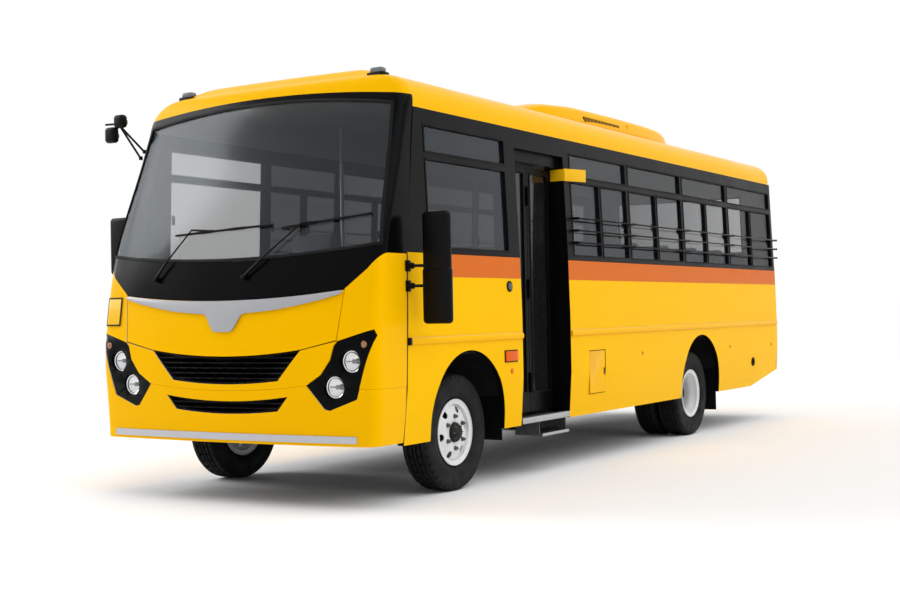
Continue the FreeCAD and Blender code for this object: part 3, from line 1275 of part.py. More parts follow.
def doorway():
    """Jambs and header round the recessed door, two folding leaves and their panes."""
    surround = Piece("door_surround")
    near, half, seat = S.leaf_plane - S.jamb_wall, S.body_width / 2 - S.wall, S.seat
    foot, head = S.tread_low + seat, S.gutter_height - S.wall
    head_tuck = S.gutter_tuck + S.frame_wall - S.wall + seat * 2
    outer = [(half - S.skirt_tuck - seat, foot), (half - seat, S.waist_low),
             (half - seat, S.waist_high), (half - S.sill_tuck - seat, S.sill_height),
             (half - head_tuck, head)]
    opening_low, opening_high = station(S.door_front), station(S.door_rear)
    jamb = poly((near, foot), *outer, (near, head))
    surround.pad("front", opening_low - S.jamb_wall, opening_low, jamb)
    surround.pad("front", opening_high, opening_high + S.jamb_wall, jamb)
    surround.pad("front", opening_low - S.seam, opening_high + S.seam, poly(
        (near, S.header_foot), (half - head_tuck, S.header_foot), (half - head_tuck, head),
        (near, head)))
    pivot_front = S.door_front + S.pivot_inset
    pivot_rear = S.door_rear - S.pivot_inset
    fold = (pivot_front + pivot_rear) / 2
    low, high = S.leaf_plane - S.leaf_wall / 2, S.leaf_plane + S.leaf_wall / 2
    gap = S.fold_gap / 2
    leaves = (("front", pivot_front - S.leaf_edge, fold - gap, pivot_front, -1),
              ("rear", fold + gap, pivot_rear + S.leaf_edge, pivot_rear, 1))
    for name, front, rear, pin, way in leaves:
        leaf = Piece(f"door_{name}_leaf")
        leaf.pad("side", low, high, box(station(front), S.leaf_foot, station(rear), S.leaf_top))
        pane = (station(front) + S.leaf_frame, S.leaf_foot + S.kick_rail,
                station(rear) - S.leaf_frame, S.leaf_top - S.leaf_frame)
        leaf.pocket("side", low - S.overrun, high + S.overrun, box(*pane))
        leaf.pad("top", S.leaf_top - S.seam, S.header_foot - S.seat,
                 ring(S.leaf_plane, station(pin), S.pin_radius))
        if way < 0:
            leaf.pad("top", S.tread_low + S.seat, S.leaf_foot + S.seam,
                     ring(S.leaf_plane, station(pin), S.pin_radius))
        pin_x = S.leaf_plane + S.fold_pin_out
        knuckle_height = S.fold_knuckle
        for share in FOLD_KNUCKLE_SHARES:
            middle = S.leaf_foot + (S.leaf_top - S.leaf_foot) * share
            foot_z = middle if way > 0 else middle - knuckle_height
            edge = station(fold) + gap * way * 3
            reach_low, reach_high = (edge, station(fold)) if way < 0 else (station(fold), edge)
            leaf.pad("top", foot_z + S.seat, foot_z + knuckle_height - S.seat,
                     ring(pin_x, station(fold), S.pin_radius))
            leaf.pad("top", foot_z + S.seat, foot_z + knuckle_height - S.seat,
                     box(high - S.seam, reach_low, pin_x, reach_high))
        glass = Piece(f"door_{name}_glass")
        glass.pad("side", S.leaf_plane - S.glass / 2, S.leaf_plane + S.glass / 2,
                  box(pane[0] + S.seat, pane[1] + S.seat, pane[2] - S.seat, pane[3] - S.seat))


# Floor, steps and wheelhouses


def floor_and_steps():
    """Floor with its bearers, wheelhouses and the step well."""
    floor = Piece("floor")
    half = S.body_width / 2 - S.wall - S.seat
    base = S.floor_top - S.floor_wall
    front, rear, seam = station(S.floor_front), station(S.floor_rear), station(S.tail_seam)
    rear_half = half - S.tail_corner + S.wall
    floor.pad("top", base, S.floor_top, poly(
        (-half, front), (half, front), (half, seam), (rear_half, rear), (-rear_half, rear),
        (-half, seam)))
    inner = S.house_inner - S.house_wall
    axles = (S.front_axle_at, S.front_axle_at + S.wheelbase)
    bearer_half = inner - S.seam
    bearer = floor.pad("top", S.rail_base + S.rail_height + S.seat, base + S.seam,
                       box(-bearer_half, station(S.cover_rear + S.overrun), bearer_half,
                           station(S.cover_rear + S.overrun) + S.bearer_width))
    reach = station(S.rail_rear) - station(S.cover_rear + S.overrun) - S.bearer_width
    floor.row_of([bearer], "Y", reach, BEARERS)
    below, above = base - S.overrun, S.floor_top + S.overrun
    for at in axles:
        for side in (1, -1):
            floor.pocket("top", below, above, box(*sorted_box(
                side, inner - S.seat, half + S.overrun, station(at) - S.house_half - S.seat,
                station(at) + S.house_half + S.seat)))
    floor.pocket("top", below - S.bearer_height, above, box(
        S.tread_mid_inner - S.tread_wall - S.seat, station(S.door_front) - S.jamb_wall,
        half + S.overrun, station(S.door_rear) + S.jamb_wall))
    cover = S.cover_half - S.wall
    floor.pocket("top", below, above, box(
        -cover, front - S.overrun, cover, station(S.cover_rear) - S.wall))
    wheelhouses(axles, inner, half)
    steps = Piece("steps")
    wall = S.tread_wall
    outer = S.step_edge
    low_y, high_y = station(S.door_front) - S.jamb_wall / 2, station(S.door_rear) + S.jamb_wall / 2
    outer_low = S.body_width / 2 - S.skirt_tuck
    steps.pad("front", low_y, high_y, poly(
        (outer, S.tread_low - wall), (outer, S.tread_low), (S.tread_low_inner, S.tread_low),
        (S.tread_low_inner, S.tread_mid), (S.tread_mid_inner, S.tread_mid),
        (S.tread_mid_inner, S.floor_top), (S.tread_mid_inner - wall, S.floor_top),
        (S.tread_mid_inner - wall, S.tread_mid - wall), (S.tread_low_inner - wall, S.tread_mid - wall),
        (S.tread_low_inner - wall, S.tread_low - wall)))
    steps.pad("front", station(S.door_front) + S.seam, station(S.door_rear) - S.seam, poly(
        (outer - S.seam, S.tread_low - wall), (outer_low, S.tread_low - wall),
        (outer_low, S.tread_low), (outer - S.seam, S.tread_low)))
    for end in (low_y, high_y - wall):
        steps.pad("front", end, end + wall, poly(
            (S.tread_mid_inner - wall, S.tread_mid - wall), (S.tread_low_inner - wall, S.tread_mid - wall),
            (S.tread_low_inner - wall, S.tread_low - wall), (S.leaf_plane - S.jamb_wall - S.seam,
                                                            S.tread_low - wall),
            (S.leaf_plane - S.jamb_wall - S.seam, S.floor_top - S.floor_wall),
            (S.tread_mid_inner - wall, S.floor_top - S.floor_wall)))
    drop_low, drop_high = station(S.drop_step_front), station(S.drop_step_rear)
    steps.pad("top", S.drop_step_top - S.drop_step_wall, S.drop_step_top, box(
        outer_low - S.drop_step_depth, drop_low, outer_low, drop_high))
    for end in (drop_low, drop_high - S.step_hanger):
        steps.pad("top", S.drop_step_top - wall, S.tread_low - wall / 2, box(
            outer_low - S.drop_step_depth, end, outer_low - S.step_hanger_set, end + S.step_hanger))


def wheelhouses(axles, inner, half):
    """Four boxes over the wheels, open below and towards the road."""
    houses = Piece("wheelhouses")
    wall = S.house_wall
    foot = S.apron_foot
    for at in axles:
        for side in (1, -1):
            middle = station(at)
            low, high = span(side, inner, half)
            cut_low, cut_high = span(side, inner + wall, half + S.overrun)
            slope = S.house_slope
            houses.pad("side", low, high, poly(
                (middle - S.house_half, S.waist_low), (middle + S.house_half, S.waist_low),
                (middle + S.house_half, S.floor_top),
                (middle + S.house_half - slope, S.house_top + wall),
                (middle - S.house_half + slope, S.house_top + wall),
                (middle - S.house_half, S.floor_top)))
            apron_low, apron_high = span(side, inner, half - S.skirt_tuck)
            houses.pad("side", apron_low, apron_high, box(
                middle - S.house_half, foot, middle + S.house_half, S.waist_low + wall))
            houses.pocket("side", cut_low, cut_high, poly(
                (middle - S.house_half + wall, foot - S.overrun),
                (middle + S.house_half - wall, foot - S.overrun),
                (middle + S.house_half - wall, S.floor_top - wall),
                (middle + S.house_half - slope - wall, S.house_top),
                (middle - S.house_half + slope + wall, S.house_top),
                (middle - S.house_half + wall, S.floor_top - wall)))


# Cabin


def cabin():
    """Engine cover, dashboard with the driver's wheel, benches and the driver's seat."""
    dash = Piece("dashboard")
    front, foot = station(S.floor_front), S.floor_top
    dash.pad("side", -S.cover_half, S.cover_half, poly(
        (front, foot + S.seat), (station(S.cover_rear), foot + S.seat),
        (station(S.cover_rear) - S.wall, S.cover_top), (front, S.cover_top)))
    hollow, rear = S.cover_half - S.skin, station(S.cover_rear) - S.skin
    dash.pocket("side", -hollow, hollow, poly(
        (front - S.overrun, foot - S.overrun), (rear, foot - S.overrun),
        (rear - S.wall, S.cover_top - S.skin), (front - S.overrun, S.cover_top - S.skin)))
    dash_half = S.body_width / 2 - S.wall - S.seam * 3
    dash_rear, under = front + S.dash_depth, S.cover_top + S.seat
    dash.pad("side", -dash_half, dash_half, poly(
        (front, under), (front + S.dash_depth / 2, under), (dash_rear, under + S.wall),
        (dash_rear, S.dash_top), (front, S.dash_top + S.wall)))
    driver_controls()
    benches()


def driver_controls():
    """The driver's wheel, tilted on a column that stands on the floor."""
    tilt = math.radians(N.wheel_tilt)
    up = FreeCAD.Vector(0, math.sin(tilt), math.cos(tilt))
    centre = FreeCAD.Vector(-N.driver_x, N.rim_at - N.body_length / 2, N.dash_top)
    rim = Part.makeTorus(N.wheel_radius, N.wheel_rim, centre, up)
    length = (N.dash_top - N.floor_top) / math.cos(tilt) + N.overrun
    column = Part.makeCylinder(N.column_radius, length, centre, -up)
    spokes = Part.makeCylinder(N.wheel_rim / 2, N.wheel_radius * 2,
                               centre - FreeCAD.Vector(N.wheel_radius, 0, 0),
                               FreeCAD.Vector(1, 0, 0))
    spoke = Part.makeCylinder(N.wheel_rim / 2, N.wheel_radius, centre,
                              FreeCAD.Vector(0, -math.cos(tilt), math.sin(tilt)))
    base = FreeCAD.Vector(-N.body_width, -N.body_length, 0)
    below = Part.makeBox(N.body_width * 2, N.body_length * 2, N.floor_top + N.seat, base)
    keep_shape("driver_controls", one_solid(column.fuse([rim, spokes, spoke]).cut(below)))


def benches():
    """Rows of double benches on both sides of the aisle, with their frames."""
    cushions = Piece("seat_cushions")
    frames = Piece("seat_frames")
    reach = S.seat_pitch * (BENCH_ROWS - 1)
    lean, rail = S.back_wall, S.leg_wall
    wall_face = S.body_width / 2 - S.wall - S.seat
    for side in (1, -1):
        low, high = span(side, S.seat_aisle, S.seat_aisle + S.seat_width)
        front = station(S.seat_first)
        rear = front + S.cushion_depth
        top, foot = S.cushion_height, S.cushion_height - S.cushion_wall
        back, crest = rear + S.seat, S.back_height
        seat = cushions.pad("side", low, high, box(front, foot, rear, top))
        back = cushions.pad("side", low, high, poly(
            (back, foot), (back + S.back_wall, foot), (back + S.back_wall + lean, crest),
            (back + lean, crest)))
        cushions.row_of([seat, back], "Y", reach, BENCH_ROWS)
        plate_low, plate_high = span(side, S.seat_aisle + S.seam, wall_face)
        plate = frames.pad("top", foot - S.seat - rail, foot - S.seat, box(
            plate_low, front + S.seam, plate_high, rear + S.back_wall))
        leg_low, leg_high = span(side, S.seat_aisle + S.leg_set, S.seat_aisle + S.leg_set + rail)
        leg = frames.pad("top", S.floor_top + S.seat, foot - rail, box(
            leg_low, front + rail, leg_high, rear - rail))
        frames.row_of([plate, leg], "Y", reach, BENCH_ROWS)
    driver_seat = Piece("driver_seat")
    middle, half = -S.driver_x, S.cushion_depth / 2
    front = station(S.driver_station)
    rear = front + S.cushion_depth
    driver_seat.pad("side", middle - half, middle + half, box(
        front, S.cushion_height - S.cushion_wall, rear, S.cushion_height))
    driver_seat.pad("side", middle - half, middle + half, poly(
        (rear - S.seam, S.cushion_height - S.cushion_wall),
        (rear + S.back_wall, S.cushion_height - S.cushion_wall),
        (rear + S.back_wall + lean, S.driver_back), (rear - S.seam + lean, S.driver_back)))
    base_half = S.seat_box_half
    driver_seat.pad("top", S.house_top + S.house_wall + S.seat,
                    S.cushion_height - S.cushion_wall / 2,
                    box(middle - base_half, front + S.leg_wall, middle + base_half,
                        rear - S.leg_wall))


# Outside fittings


def fittings():
    """Roof unit, mirrors, wipers, mudflaps, tail pipe and small lamps."""
    roof_unit()
    mirrors()
    wipers()
    flaps = Piece("mudflaps")
    top = S.floor_top - S.floor_wall - S.seat
    for at in (S.front_axle_at, S.front_axle_at + S.wheelbase):
        for side in (1, -1):
            spot = station(at) + S.house_half + S.seam
            low, high = span(side, S.house_inner + S.seam * 2,
                             S.body_width / 2 - S.skirt_tuck - S.wall - S.seam)
            flaps.pad("side", low, high, box(spot, top - S.flapper_drop,
                                             spot + S.flapper_wall, top))
    pipe = Piece("exhaust")
    outer = S.body_width / 2 - S.seam
    pipe_y = station(S.pipe_station)
    rail_outer = S.rail_spacing / 2 + S.rail_width / 2
    drum, drum_x = S.drum_radius, rail_outer + S.bracket_wall + S.drum_radius
    pipe.pad("side", drum_x, outer, ring(pipe_y, S.pipe_height, S.pipe_radius),
             ring(pipe_y, S.pipe_height, S.pipe_radius - S.tread_wall))
    pipe.pad("front", pipe_y + drum - S.drum_length, pipe_y + drum,
             ring(drum_x, S.pipe_height, drum))
    pipe.pad("side", rail_outer + S.seat, drum_x, box(
        pipe_y - drum * 2, S.pipe_height - S.pipe_radius, pipe_y - drum,
        S.pipe_height + S.pipe_radius))


def roof_unit():
    """The long air unit that sits on the curved roof."""
    front, rear, crown = N.unit_front, N.unit_rear, N.crown_height
    length = rear - front
    outline = side_prism([
        (front, N.unit_foot), (rear, N.unit_foot), (rear - length * UNIT_TAIL_SHARE, N.unit_top),
        (front + length * UNIT_CREST_SHARE, N.unit_top - N.skin),
        (front + length * UNIT_BROW_SHARE, crown)])
    corner = FreeCAD.Vector(-N.unit_half, -N.body_length, N.unit_foot)
    width = Part.makeBox(N.unit_half * 2, N.body_length * 2, N.crown_height, corner)
    keep_shape("roof_air_unit", one_solid(outline.common(width).cut(solid_body(-N.seat))))


def mirrors():
    """Two mirrors, one to a side, each on two arms from a bracket."""
    piece = Piece("mirrors")
    middle = station(S.mirror_station)
    for side in (1, -1):
        low, high = span(side, S.mirror_x - S.mirror_width / 2, S.mirror_x + S.mirror_width / 2)
        upper_low, upper_high = span(side, S.mirror_x - S.mirror_width / 2 + S.mirror_step,
                                     S.mirror_x + S.mirror_width / 2 - S.mirror_step)
        piece.pad("side", low, high, box(
            middle - S.mirror_depth / 2, S.mirror_low, middle + S.mirror_depth / 2, S.mirror_split))
        piece.pad("side", upper_low, upper_high, box(
            middle - S.mirror_depth / 2, S.mirror_split, middle + S.mirror_depth / 2, S.mirror_high))
        for up in (S.bracket_high, S.bracket_low):
            fall = up - S.mirror_foot_rise - S.waist_high
            lean = S.sill_tuck * fall / (S.sill_height - S.waist_high)
            skin = S.body_width / 2 - lean + S.seat
            arm_low, arm_high = span(side, skin, S.mirror_x)
            piece.pad("side", arm_low, arm_high, ring(middle, up, S.mirror_arm))
            plate_low, plate_high = span(side, skin, skin + S.mirror_foot_wall)
            foot_half, foot_rise = S.mirror_foot_half, S.mirror_foot_rise
            piece.pad("side", plate_low, plate_high, box(
                middle - foot_half, up - foot_rise, middle + foot_half, up + foot_rise))


def wipers():
    """Two wiper arms with their blades, lying along the foot of the windscreen."""
    slope = (N.gutter_set - N.screen_foot_set) / (N.gutter_height - N.screen_foot)
    shapes = []
    reach, lift = N.wiper_reach, N.wiper_lift
    rise = N.screen_low_mid + N.wiper_rise

    def place(across, up, out):
        bow = N.nose_radius - math.sqrt(N.nose_radius ** 2 - across ** 2)
        run = N.screen_foot_set + slope * (up - N.screen_foot) + bow - out
        return FreeCAD.Vector(across, run - N.body_length / 2, up)

    def rod(start, end, radius):
        return Part.makeCylinder(radius, (end - start).Length, start, end - start)

    above = solid_body(-N.seat)
    for across in (-N.wiper_x, N.wiper_mid_x):
        pivot = place(across, N.screen_low_mid - N.wall, N.pivot_lift)
        tip = place(across + reach * WIPER_ARM_SHARE, rise, lift)
        blade_low = place(across + reach * BLADE_START_SHARE, rise - N.wall, lift)
        blade_high = place(across + reach * BLADE_END_SHARE, rise + N.wall, lift)
        arm = rod(pivot, tip, N.wiper_radius)
        blade = rod(blade_low, blade_high, N.wiper_radius)
        boss = Part.makeCylinder(N.boss_radius, N.overrun,
                                 pivot - FreeCAD.Vector(0, N.wiper_radius, 0),
                                 FreeCAD.Vector(0, 1, 0))
        shapes.append(one_solid(arm.fuse([blade, boss]).cut(above)))
    keep_shape("wipers", Part.makeCompound(shapes))


def build_body():
    """Shell, walls, windows, doors, floor and fittings."""
    skin = front_face()
    lamps()
    tail_and_roof(skin)
    side_walls()
    window_frames()
    window_bars()
    doorway()
    floor_and_steps()
    cabin()
    fittings()


def build_running_gear():
    """Everything under the floor."""
    rolling_stock()
    steering()
    rear_axle()
    leaf_springs()
    chassis()
    drive_line()


def check_document():
    """Stop when any feature or sub-part failed, or two share a place on disk."""
    document.recompute()
    for item in document.Objects:
        if "Invalid" in item.State or "Error" in item.State:
            raise ValueError(f"{item.Name} failed: {item.State}")
    faulty = []
    for node, item in kept.items():
        shape = item.Shape
        if shape.isNull() or not shape.isValid() or not shape.Solids:
            faulty.append(node)
    if faulty:
        raise ValueError(f"no valid shape: {faulty}")


def write_parts():
    """Write one STEP file for each sub-part."""
    os.makedirs(PARTS_FOLDER, exist_ok=True)
    for node, item in kept.items():
        item.Shape.exportStep(f"{PARTS_FOLDER}/{node}.step")
        print(node, len(item.Shape.Solids), "solids", round(item.Shape.Volume / 1e6, 2), "litres")


fill_sheet()
build_running_gear()
build_body()
check_document()
write_parts()
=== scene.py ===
"""The dressed look of a front-engined school bus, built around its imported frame."""
import json
import logging
import math
from dataclasses import dataclass
from enum import Enum
from typing import Callable, Iterable, Optional, Sequence

import bmesh
import bpy
from mathutils import Matrix, Vector


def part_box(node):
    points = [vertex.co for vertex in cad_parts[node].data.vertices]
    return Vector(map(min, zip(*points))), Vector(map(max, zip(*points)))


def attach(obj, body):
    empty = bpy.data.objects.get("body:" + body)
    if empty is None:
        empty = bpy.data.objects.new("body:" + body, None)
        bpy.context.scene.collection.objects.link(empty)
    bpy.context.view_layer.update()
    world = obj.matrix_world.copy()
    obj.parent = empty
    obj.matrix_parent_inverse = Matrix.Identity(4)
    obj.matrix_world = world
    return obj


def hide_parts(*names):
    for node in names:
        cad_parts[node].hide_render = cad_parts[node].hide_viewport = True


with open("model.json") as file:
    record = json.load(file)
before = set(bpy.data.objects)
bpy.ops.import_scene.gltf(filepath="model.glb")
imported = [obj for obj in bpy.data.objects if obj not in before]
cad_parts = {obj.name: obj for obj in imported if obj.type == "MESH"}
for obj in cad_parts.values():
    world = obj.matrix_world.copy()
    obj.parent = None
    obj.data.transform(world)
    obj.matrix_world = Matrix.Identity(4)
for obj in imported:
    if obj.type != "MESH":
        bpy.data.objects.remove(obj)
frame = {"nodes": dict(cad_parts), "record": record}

logging.basicConfig(level=logging.INFO, format="%(message)s")
LOG = logging.getLogger("school_bus")

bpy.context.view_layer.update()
HALF_LENGTH = 4.060
SEAM_BEVEL = 0.0025
SMOOTH_ANGLE = math.radians(32)
FLAT_ANGLE = math.radians(0.06)
FOLD_ANGLE = math.radians(2)
BREAK_ANGLE = math.radians(40)
FORM_MERGE = 1e-5
NODE_MERGE = 2e-5
WAVE_TURN = 6.283
COAT_ROUGHNESS = 0.04
PATCH_BAND = (0.3, 0.7)
GLOSS_SWING = (0.85, 1.2)
RELIEF_SHARE = 0.3

Point = tuple[float, float, float]
Pair = tuple[float, float]


def at(station: float) -> float:
    """The Y of a point that lies so far behind the front skin."""
    return station - HALF_LENGTH


def linear(code: str) -> tuple[float, float, float, float]:
    """Turn an sRGB hex value into a linear colour.

    Args:
        code: six hex digits.

    Returns:
        Linear red, green, blue and an alpha of one.
    """
    parts = [int(code[place:place + 2], 16) / 255 for place in (0, 2, 4)]
    toe, slope, offset, power = 0.04045, 12.92, 0.055, 2.4
    made = [part / slope if part <= toe else ((part + offset) / (1 + offset)) ** power
            for part in parts]
    return (made[0], made[1], made[2], 1.0)


def add_node(tree: bpy.types.NodeTree, kind: str, settings: Optional[dict] = None,
             inputs: Optional[dict] = None) -> bpy.types.Node:
    """Add one shader node with its settings and links.

    Args:
        tree: the material's node tree.
        kind: the node's type.
        settings: attributes of the node itself.
        inputs: values, or output sockets to link, by socket name or number.

    Returns:
        The new node.
    """
    node = tree.nodes.new(kind)
    for name, value in (settings or {}).items():
        setattr(node, name, value)
    for name, value in (inputs or {}).items():
        if isinstance(value, bpy.types.NodeSocket):
            tree.links.new(value, node.inputs[name])
        else:
            node.inputs[name].default_value = value
    return node


def reckon(tree: bpy.types.NodeTree, operation: str, one: bpy.types.NodeSocket,
           two: Optional[float | bpy.types.NodeSocket] = None) -> bpy.types.NodeSocket:
    """Add one sum or comparison to a node tree.

    Args:
        tree: the material's node tree.
        operation: the math node's operation.
        one: the first socket.
        two: the second value or socket, where the operation has one.

    Returns:
        The socket with the result.
    """
    inputs = {0: one} if two is None else {0: one, 1: two}
    return add_node(tree, "ShaderNodeMath", {"operation": operation}, inputs).outputs[0]


def blend(tree: bpy.types.NodeTree, share: bpy.types.NodeSocket,
          one: tuple | bpy.types.NodeSocket,
          two: tuple | bpy.types.NodeSocket) -> bpy.types.NodeSocket:
    """Add one blend of two colours to a node tree.

    Args:
        tree: the material's node tree.
        share: the socket with the second colour's share.
        one: the first colour or its socket.
        two: the second colour or its socket.

    Returns:
        The socket with the blended colour.
    """
    return add_node(tree, "ShaderNodeMix", {"data_type": "RGBA"}, {
        "Factor": share, 6: one, 7: two}).outputs[2]


def per_metre(size_mm: float) -> float:
    """The texture scale at which one cell is so many millimetres wide."""
    return 1000.0 / size_mm


@dataclass(frozen=True)
class Finish:
    """A surface finish: one shader with soft colour patches and a fine relief."""

    name: str
    colour: str
    roughness: float
    metallic: float = 0.0
    coat: float = 0.0
    ior: float = 1.5
    grain_mm: float = 3.0
    relief: float = 0.05
    patch_mm: float = 400.0
    patch: float = 0.08
    specular: float = 0.5
    gloss_tint: str = "FFFFFF"

    def build(self) -> bpy.types.Material:
        """Make the finish's material.

        Returns:
            The material, ready to be put on a piece.
        """
        known = bpy.data.materials.get(self.name)
        if known:
            return known
        material = bpy.data.materials.new(self.name)
        material.use_nodes = True
        tree = material.node_tree
        tree.nodes.clear()
        place = add_node(tree, "ShaderNodeTexCoord").outputs["Object"]
        shader = add_node(tree, "ShaderNodeBsdfPrincipled", inputs={
            "Metallic": self.metallic, "Coat Weight": self.coat, "Coat Roughness": COAT_ROUGHNESS,
            "IOR": self.ior, "Specular IOR Level": self.specular,
            "Specular Tint": linear(self.gloss_tint)})
        add_node(tree, "ShaderNodeOutputMaterial", inputs={"Surface": shader.outputs["BSDF"]})
        self.dress(tree, place, shader)
        return material

    def dress(self, tree: bpy.types.NodeTree, place: bpy.types.NodeSocket,
              shader: bpy.types.Node) -> None:
        """Give the shader its colour, roughness and relief.

        Args:
            tree: the material's node tree.
            place: the socket with object coordinates.
            shader: the principled shader.
        """
        patches = add_node(tree, "ShaderNodeTexNoise", inputs={
            "Vector": place, "Scale": per_metre(self.patch_mm), "Detail": 3.0})
        colour = self.tint(tree, place, patches.outputs["Fac"])
        tree.links.new(colour, shader.inputs["Base Color"])
        gloss = add_node(tree, "ShaderNodeMapRange", inputs={
            "Value": patches.outputs["Fac"],
            "From Min": PATCH_BAND[0], "From Max": PATCH_BAND[1],
            "To Min": self.roughness * GLOSS_SWING[0],
            "To Max": min(self.roughness * GLOSS_SWING[1], 1.0)})
        tree.links.new(gloss.outputs["Result"], shader.inputs["Roughness"])
        if self.relief <= 0:
            return
        relief = self.height(tree, place)
        bump = add_node(tree, "ShaderNodeBump", inputs={
            "Height": relief, "Strength": self.relief,
            "Distance": self.grain_mm / 1000 * RELIEF_SHARE})
        tree.links.new(bump.outputs["Normal"], shader.inputs["Normal"])

    def tint(self, tree: bpy.types.NodeTree, place: bpy.types.NodeSocket,
             patches: bpy.types.NodeSocket) -> bpy.types.NodeSocket:
        """Shade the colour a little from patch to patch.

        Args:
            tree: the material's node tree.
            place: the socket with object coordinates.
            patches: the socket with the patch noise.

        Returns:
            The socket with the colour.
        """
        base = linear(self.colour)
        dark = tuple(part * (1 - self.patch) for part in base[:3]) + (1.0,)
        return blend(tree, patches, base, dark)

    def height(self, tree: bpy.types.NodeTree,
               place: bpy.types.NodeSocket) -> bpy.types.NodeSocket:
        """The fine relief of the surface.

        Args:
            tree: the material's node tree.
            place: the socket with object coordinates.

        Returns:
            The socket with the height.
        """
        grain = add_node(tree, "ShaderNodeTexNoise", inputs={
            "Vector": place, "Scale": per_metre(self.grain_mm), "Detail": 2.0})
        return grain.outputs["Fac"]


@dataclass(frozen=True)
class BodyEnamel(Finish):
    """Baked enamel on sheet steel, with a painted band and a pale lining inside."""

    band: str = "D9702C"
    lining: str = "C9C6BC"
    band_low: float = 1.473
    band_high: float = 1.640
    band_front: float = 0.735
    band_rear: float = 7.94
    dust: str = "B08A2E"
    # Painted shade: the near black laid on faces that turn away from the outside, such as cut edges
    # round arches and openings
    edge: str = "0B0B0C"
    shade_facing: float = 0.3
    cabin_floor: float = 0.9
    side_from: float = 1.10
    dust_top: float = 0.72
    dust_foot: float = 0.38
    dust_most: float = 0.12
    cabin_middle: float = 1.75
    lining_facing: float = -0.02
    inward_facing: float = -0.9
    shaded_edges: bool = False

    def tint(self, tree: bpy.types.NodeTree, place: bpy.types.NodeSocket,
             patches: bpy.types.NodeSocket) -> bpy.types.NodeSocket:
        """Colour the outside, the band along the sides and the lining inside, and where asked lay
        painted shade on the edges that turn inwards.
        """
        paint = super().tint(tree, place, patches)
        axes = add_node(tree, "ShaderNodeSeparateXYZ", inputs={"Vector": place})
        wide = reckon(tree, "ABSOLUTE", axes.outputs["X"])
        masks = [reckon(tree, kind, source, edge) for kind, source, edge in (
            ("GREATER_THAN", axes.outputs["Z"], self.band_low),
            ("LESS_THAN", axes.outputs["Z"], self.band_high),
            ("GREATER_THAN", axes.outputs["Y"], at(self.band_front)),
            ("LESS_THAN", axes.outputs["Y"], at(self.band_rear)),
            ("GREATER_THAN", wide, self.side_from))]
        inside = masks[0]
        for mask in masks[1:]:
            inside = reckon(tree, "MULTIPLY", inside, mask)
        striped = blend(tree, inside, paint, linear(self.band))
        low = add_node(tree, "ShaderNodeMapRange", inputs={
            "Value": axes.outputs["Z"], "From Min": self.dust_top, "From Max": self.dust_foot,
            "To Min": 0.0, "To Max": self.dust_most})
        dusty = reckon(tree, "MULTIPLY", low.outputs["Result"], patches)
        soiled = blend(tree, dusty, striped, linear(self.dust))
        normal = add_node(tree, "ShaderNodeTexCoord").outputs["Normal"]
        middle = add_node(tree, "ShaderNodeVectorMath", {"operation": "SUBTRACT"},
                          {0: place, 1: (0.0, 0.0, self.cabin_middle)})
        facing = add_node(tree, "ShaderNodeVectorMath", {"operation": "DOT_PRODUCT"},
                          {0: middle.outputs["Vector"], 1: normal})
        inner = reckon(tree, "LESS_THAN", facing.outputs["Value"], self.lining_facing)
        lined = blend(tree, inner, soiled, linear(self.lining))
        if not self.shaded_edges:
            return lined
        # Painted shade: faces not turned outwards, such as cut edges round arches and openings, are
        # coloured near black; inward faces high in the cabin take the lining instead
        turned = add_node(tree, "ShaderNodeSeparateXYZ", inputs={"Vector": normal})
        hand = reckon(tree, "SIGN", axes.outputs["X"])
        outward = reckon(tree, "MULTIPLY", turned.outputs["X"], hand)
        rim = reckon(tree, "LESS_THAN", outward, self.shade_facing)
        edge_shaded = blend(tree, rim, soiled, linear(self.edge))
        flat = reckon(tree, "LESS_THAN", outward, self.inward_facing)
        high = reckon(tree, "GREATER_THAN", axes.outputs["Z"], self.cabin_floor)
        cabin = reckon(tree, "MULTIPLY", flat, high)
        return blend(tree, cabin, edge_shaded, linear(self.lining))


@dataclass(frozen=True)
class SheetGlass(Finish):
    """Tinted sheet glass: a dark, glossy film that lets some light through."""

    alpha: float = 0.6
    rear_alpha: float = 0.6
    driver_alpha: float = 0.3
    driver_end: float = 1.85
    driver_wall: float = 1.0
    fade_front: float = 2.8
    fade_rear: float = 8.0

    def dress(self, tree: bpy.types.NodeTree, place: bpy.types.NodeSocket,
              shader: bpy.types.Node) -> None:
        """Make the shader see-through, more so to the rear and at the driver's window."""
        super().dress(tree, place, shader)
        axes = add_node(tree, "ShaderNodeSeparateXYZ", inputs={"Vector": place})
        far = reckon(tree, "LESS_THAN", axes.outputs["X"], -self.driver_wall)
        front = reckon(tree, "LESS_THAN", axes.outputs["Y"], at(self.driver_end))
        driver = reckon(tree, "MULTIPLY", far, front)
        along = add_node(tree, "ShaderNodeMapRange", inputs={
            "Value": axes.outputs["Y"],
            "From Min": at(self.fade_front), "From Max": at(self.fade_rear),
            "To Min": self.alpha, "To Max": self.rear_alpha})
        film = add_node(tree, "ShaderNodeMapRange", inputs={
            "Value": driver, "To Min": along.outputs["Result"],
            "To Max": self.driver_alpha})
        tree.links.new(film.outputs["Result"], shader.inputs["Alpha"])


@dataclass(frozen=True)
class LensGlass(Finish):
    """Moulded lamp lens with fine flutes."""

    alpha: float = 0.35

    def dress(self, tree: bpy.types.NodeTree, place: bpy.types.NodeSocket,
              shader: bpy.types.Node) -> None:
        """Make the shader see-through, then dress it as any finish."""
        super().dress(tree, place, shader)
        shader.inputs["Alpha"].default_value = self.alpha

    def height(self, tree: bpy.types.NodeTree,
               place: bpy.types.NodeSocket) -> bpy.types.NodeSocket:
        """Upright flutes a few millimetres apart."""
        flutes = add_node(tree, "ShaderNodeTexWave", {"bands_direction": "X"}, {
            "Vector": place, "Scale": per_metre(self.grain_mm) / WAVE_TURN})
        return flutes.outputs["Fac"]


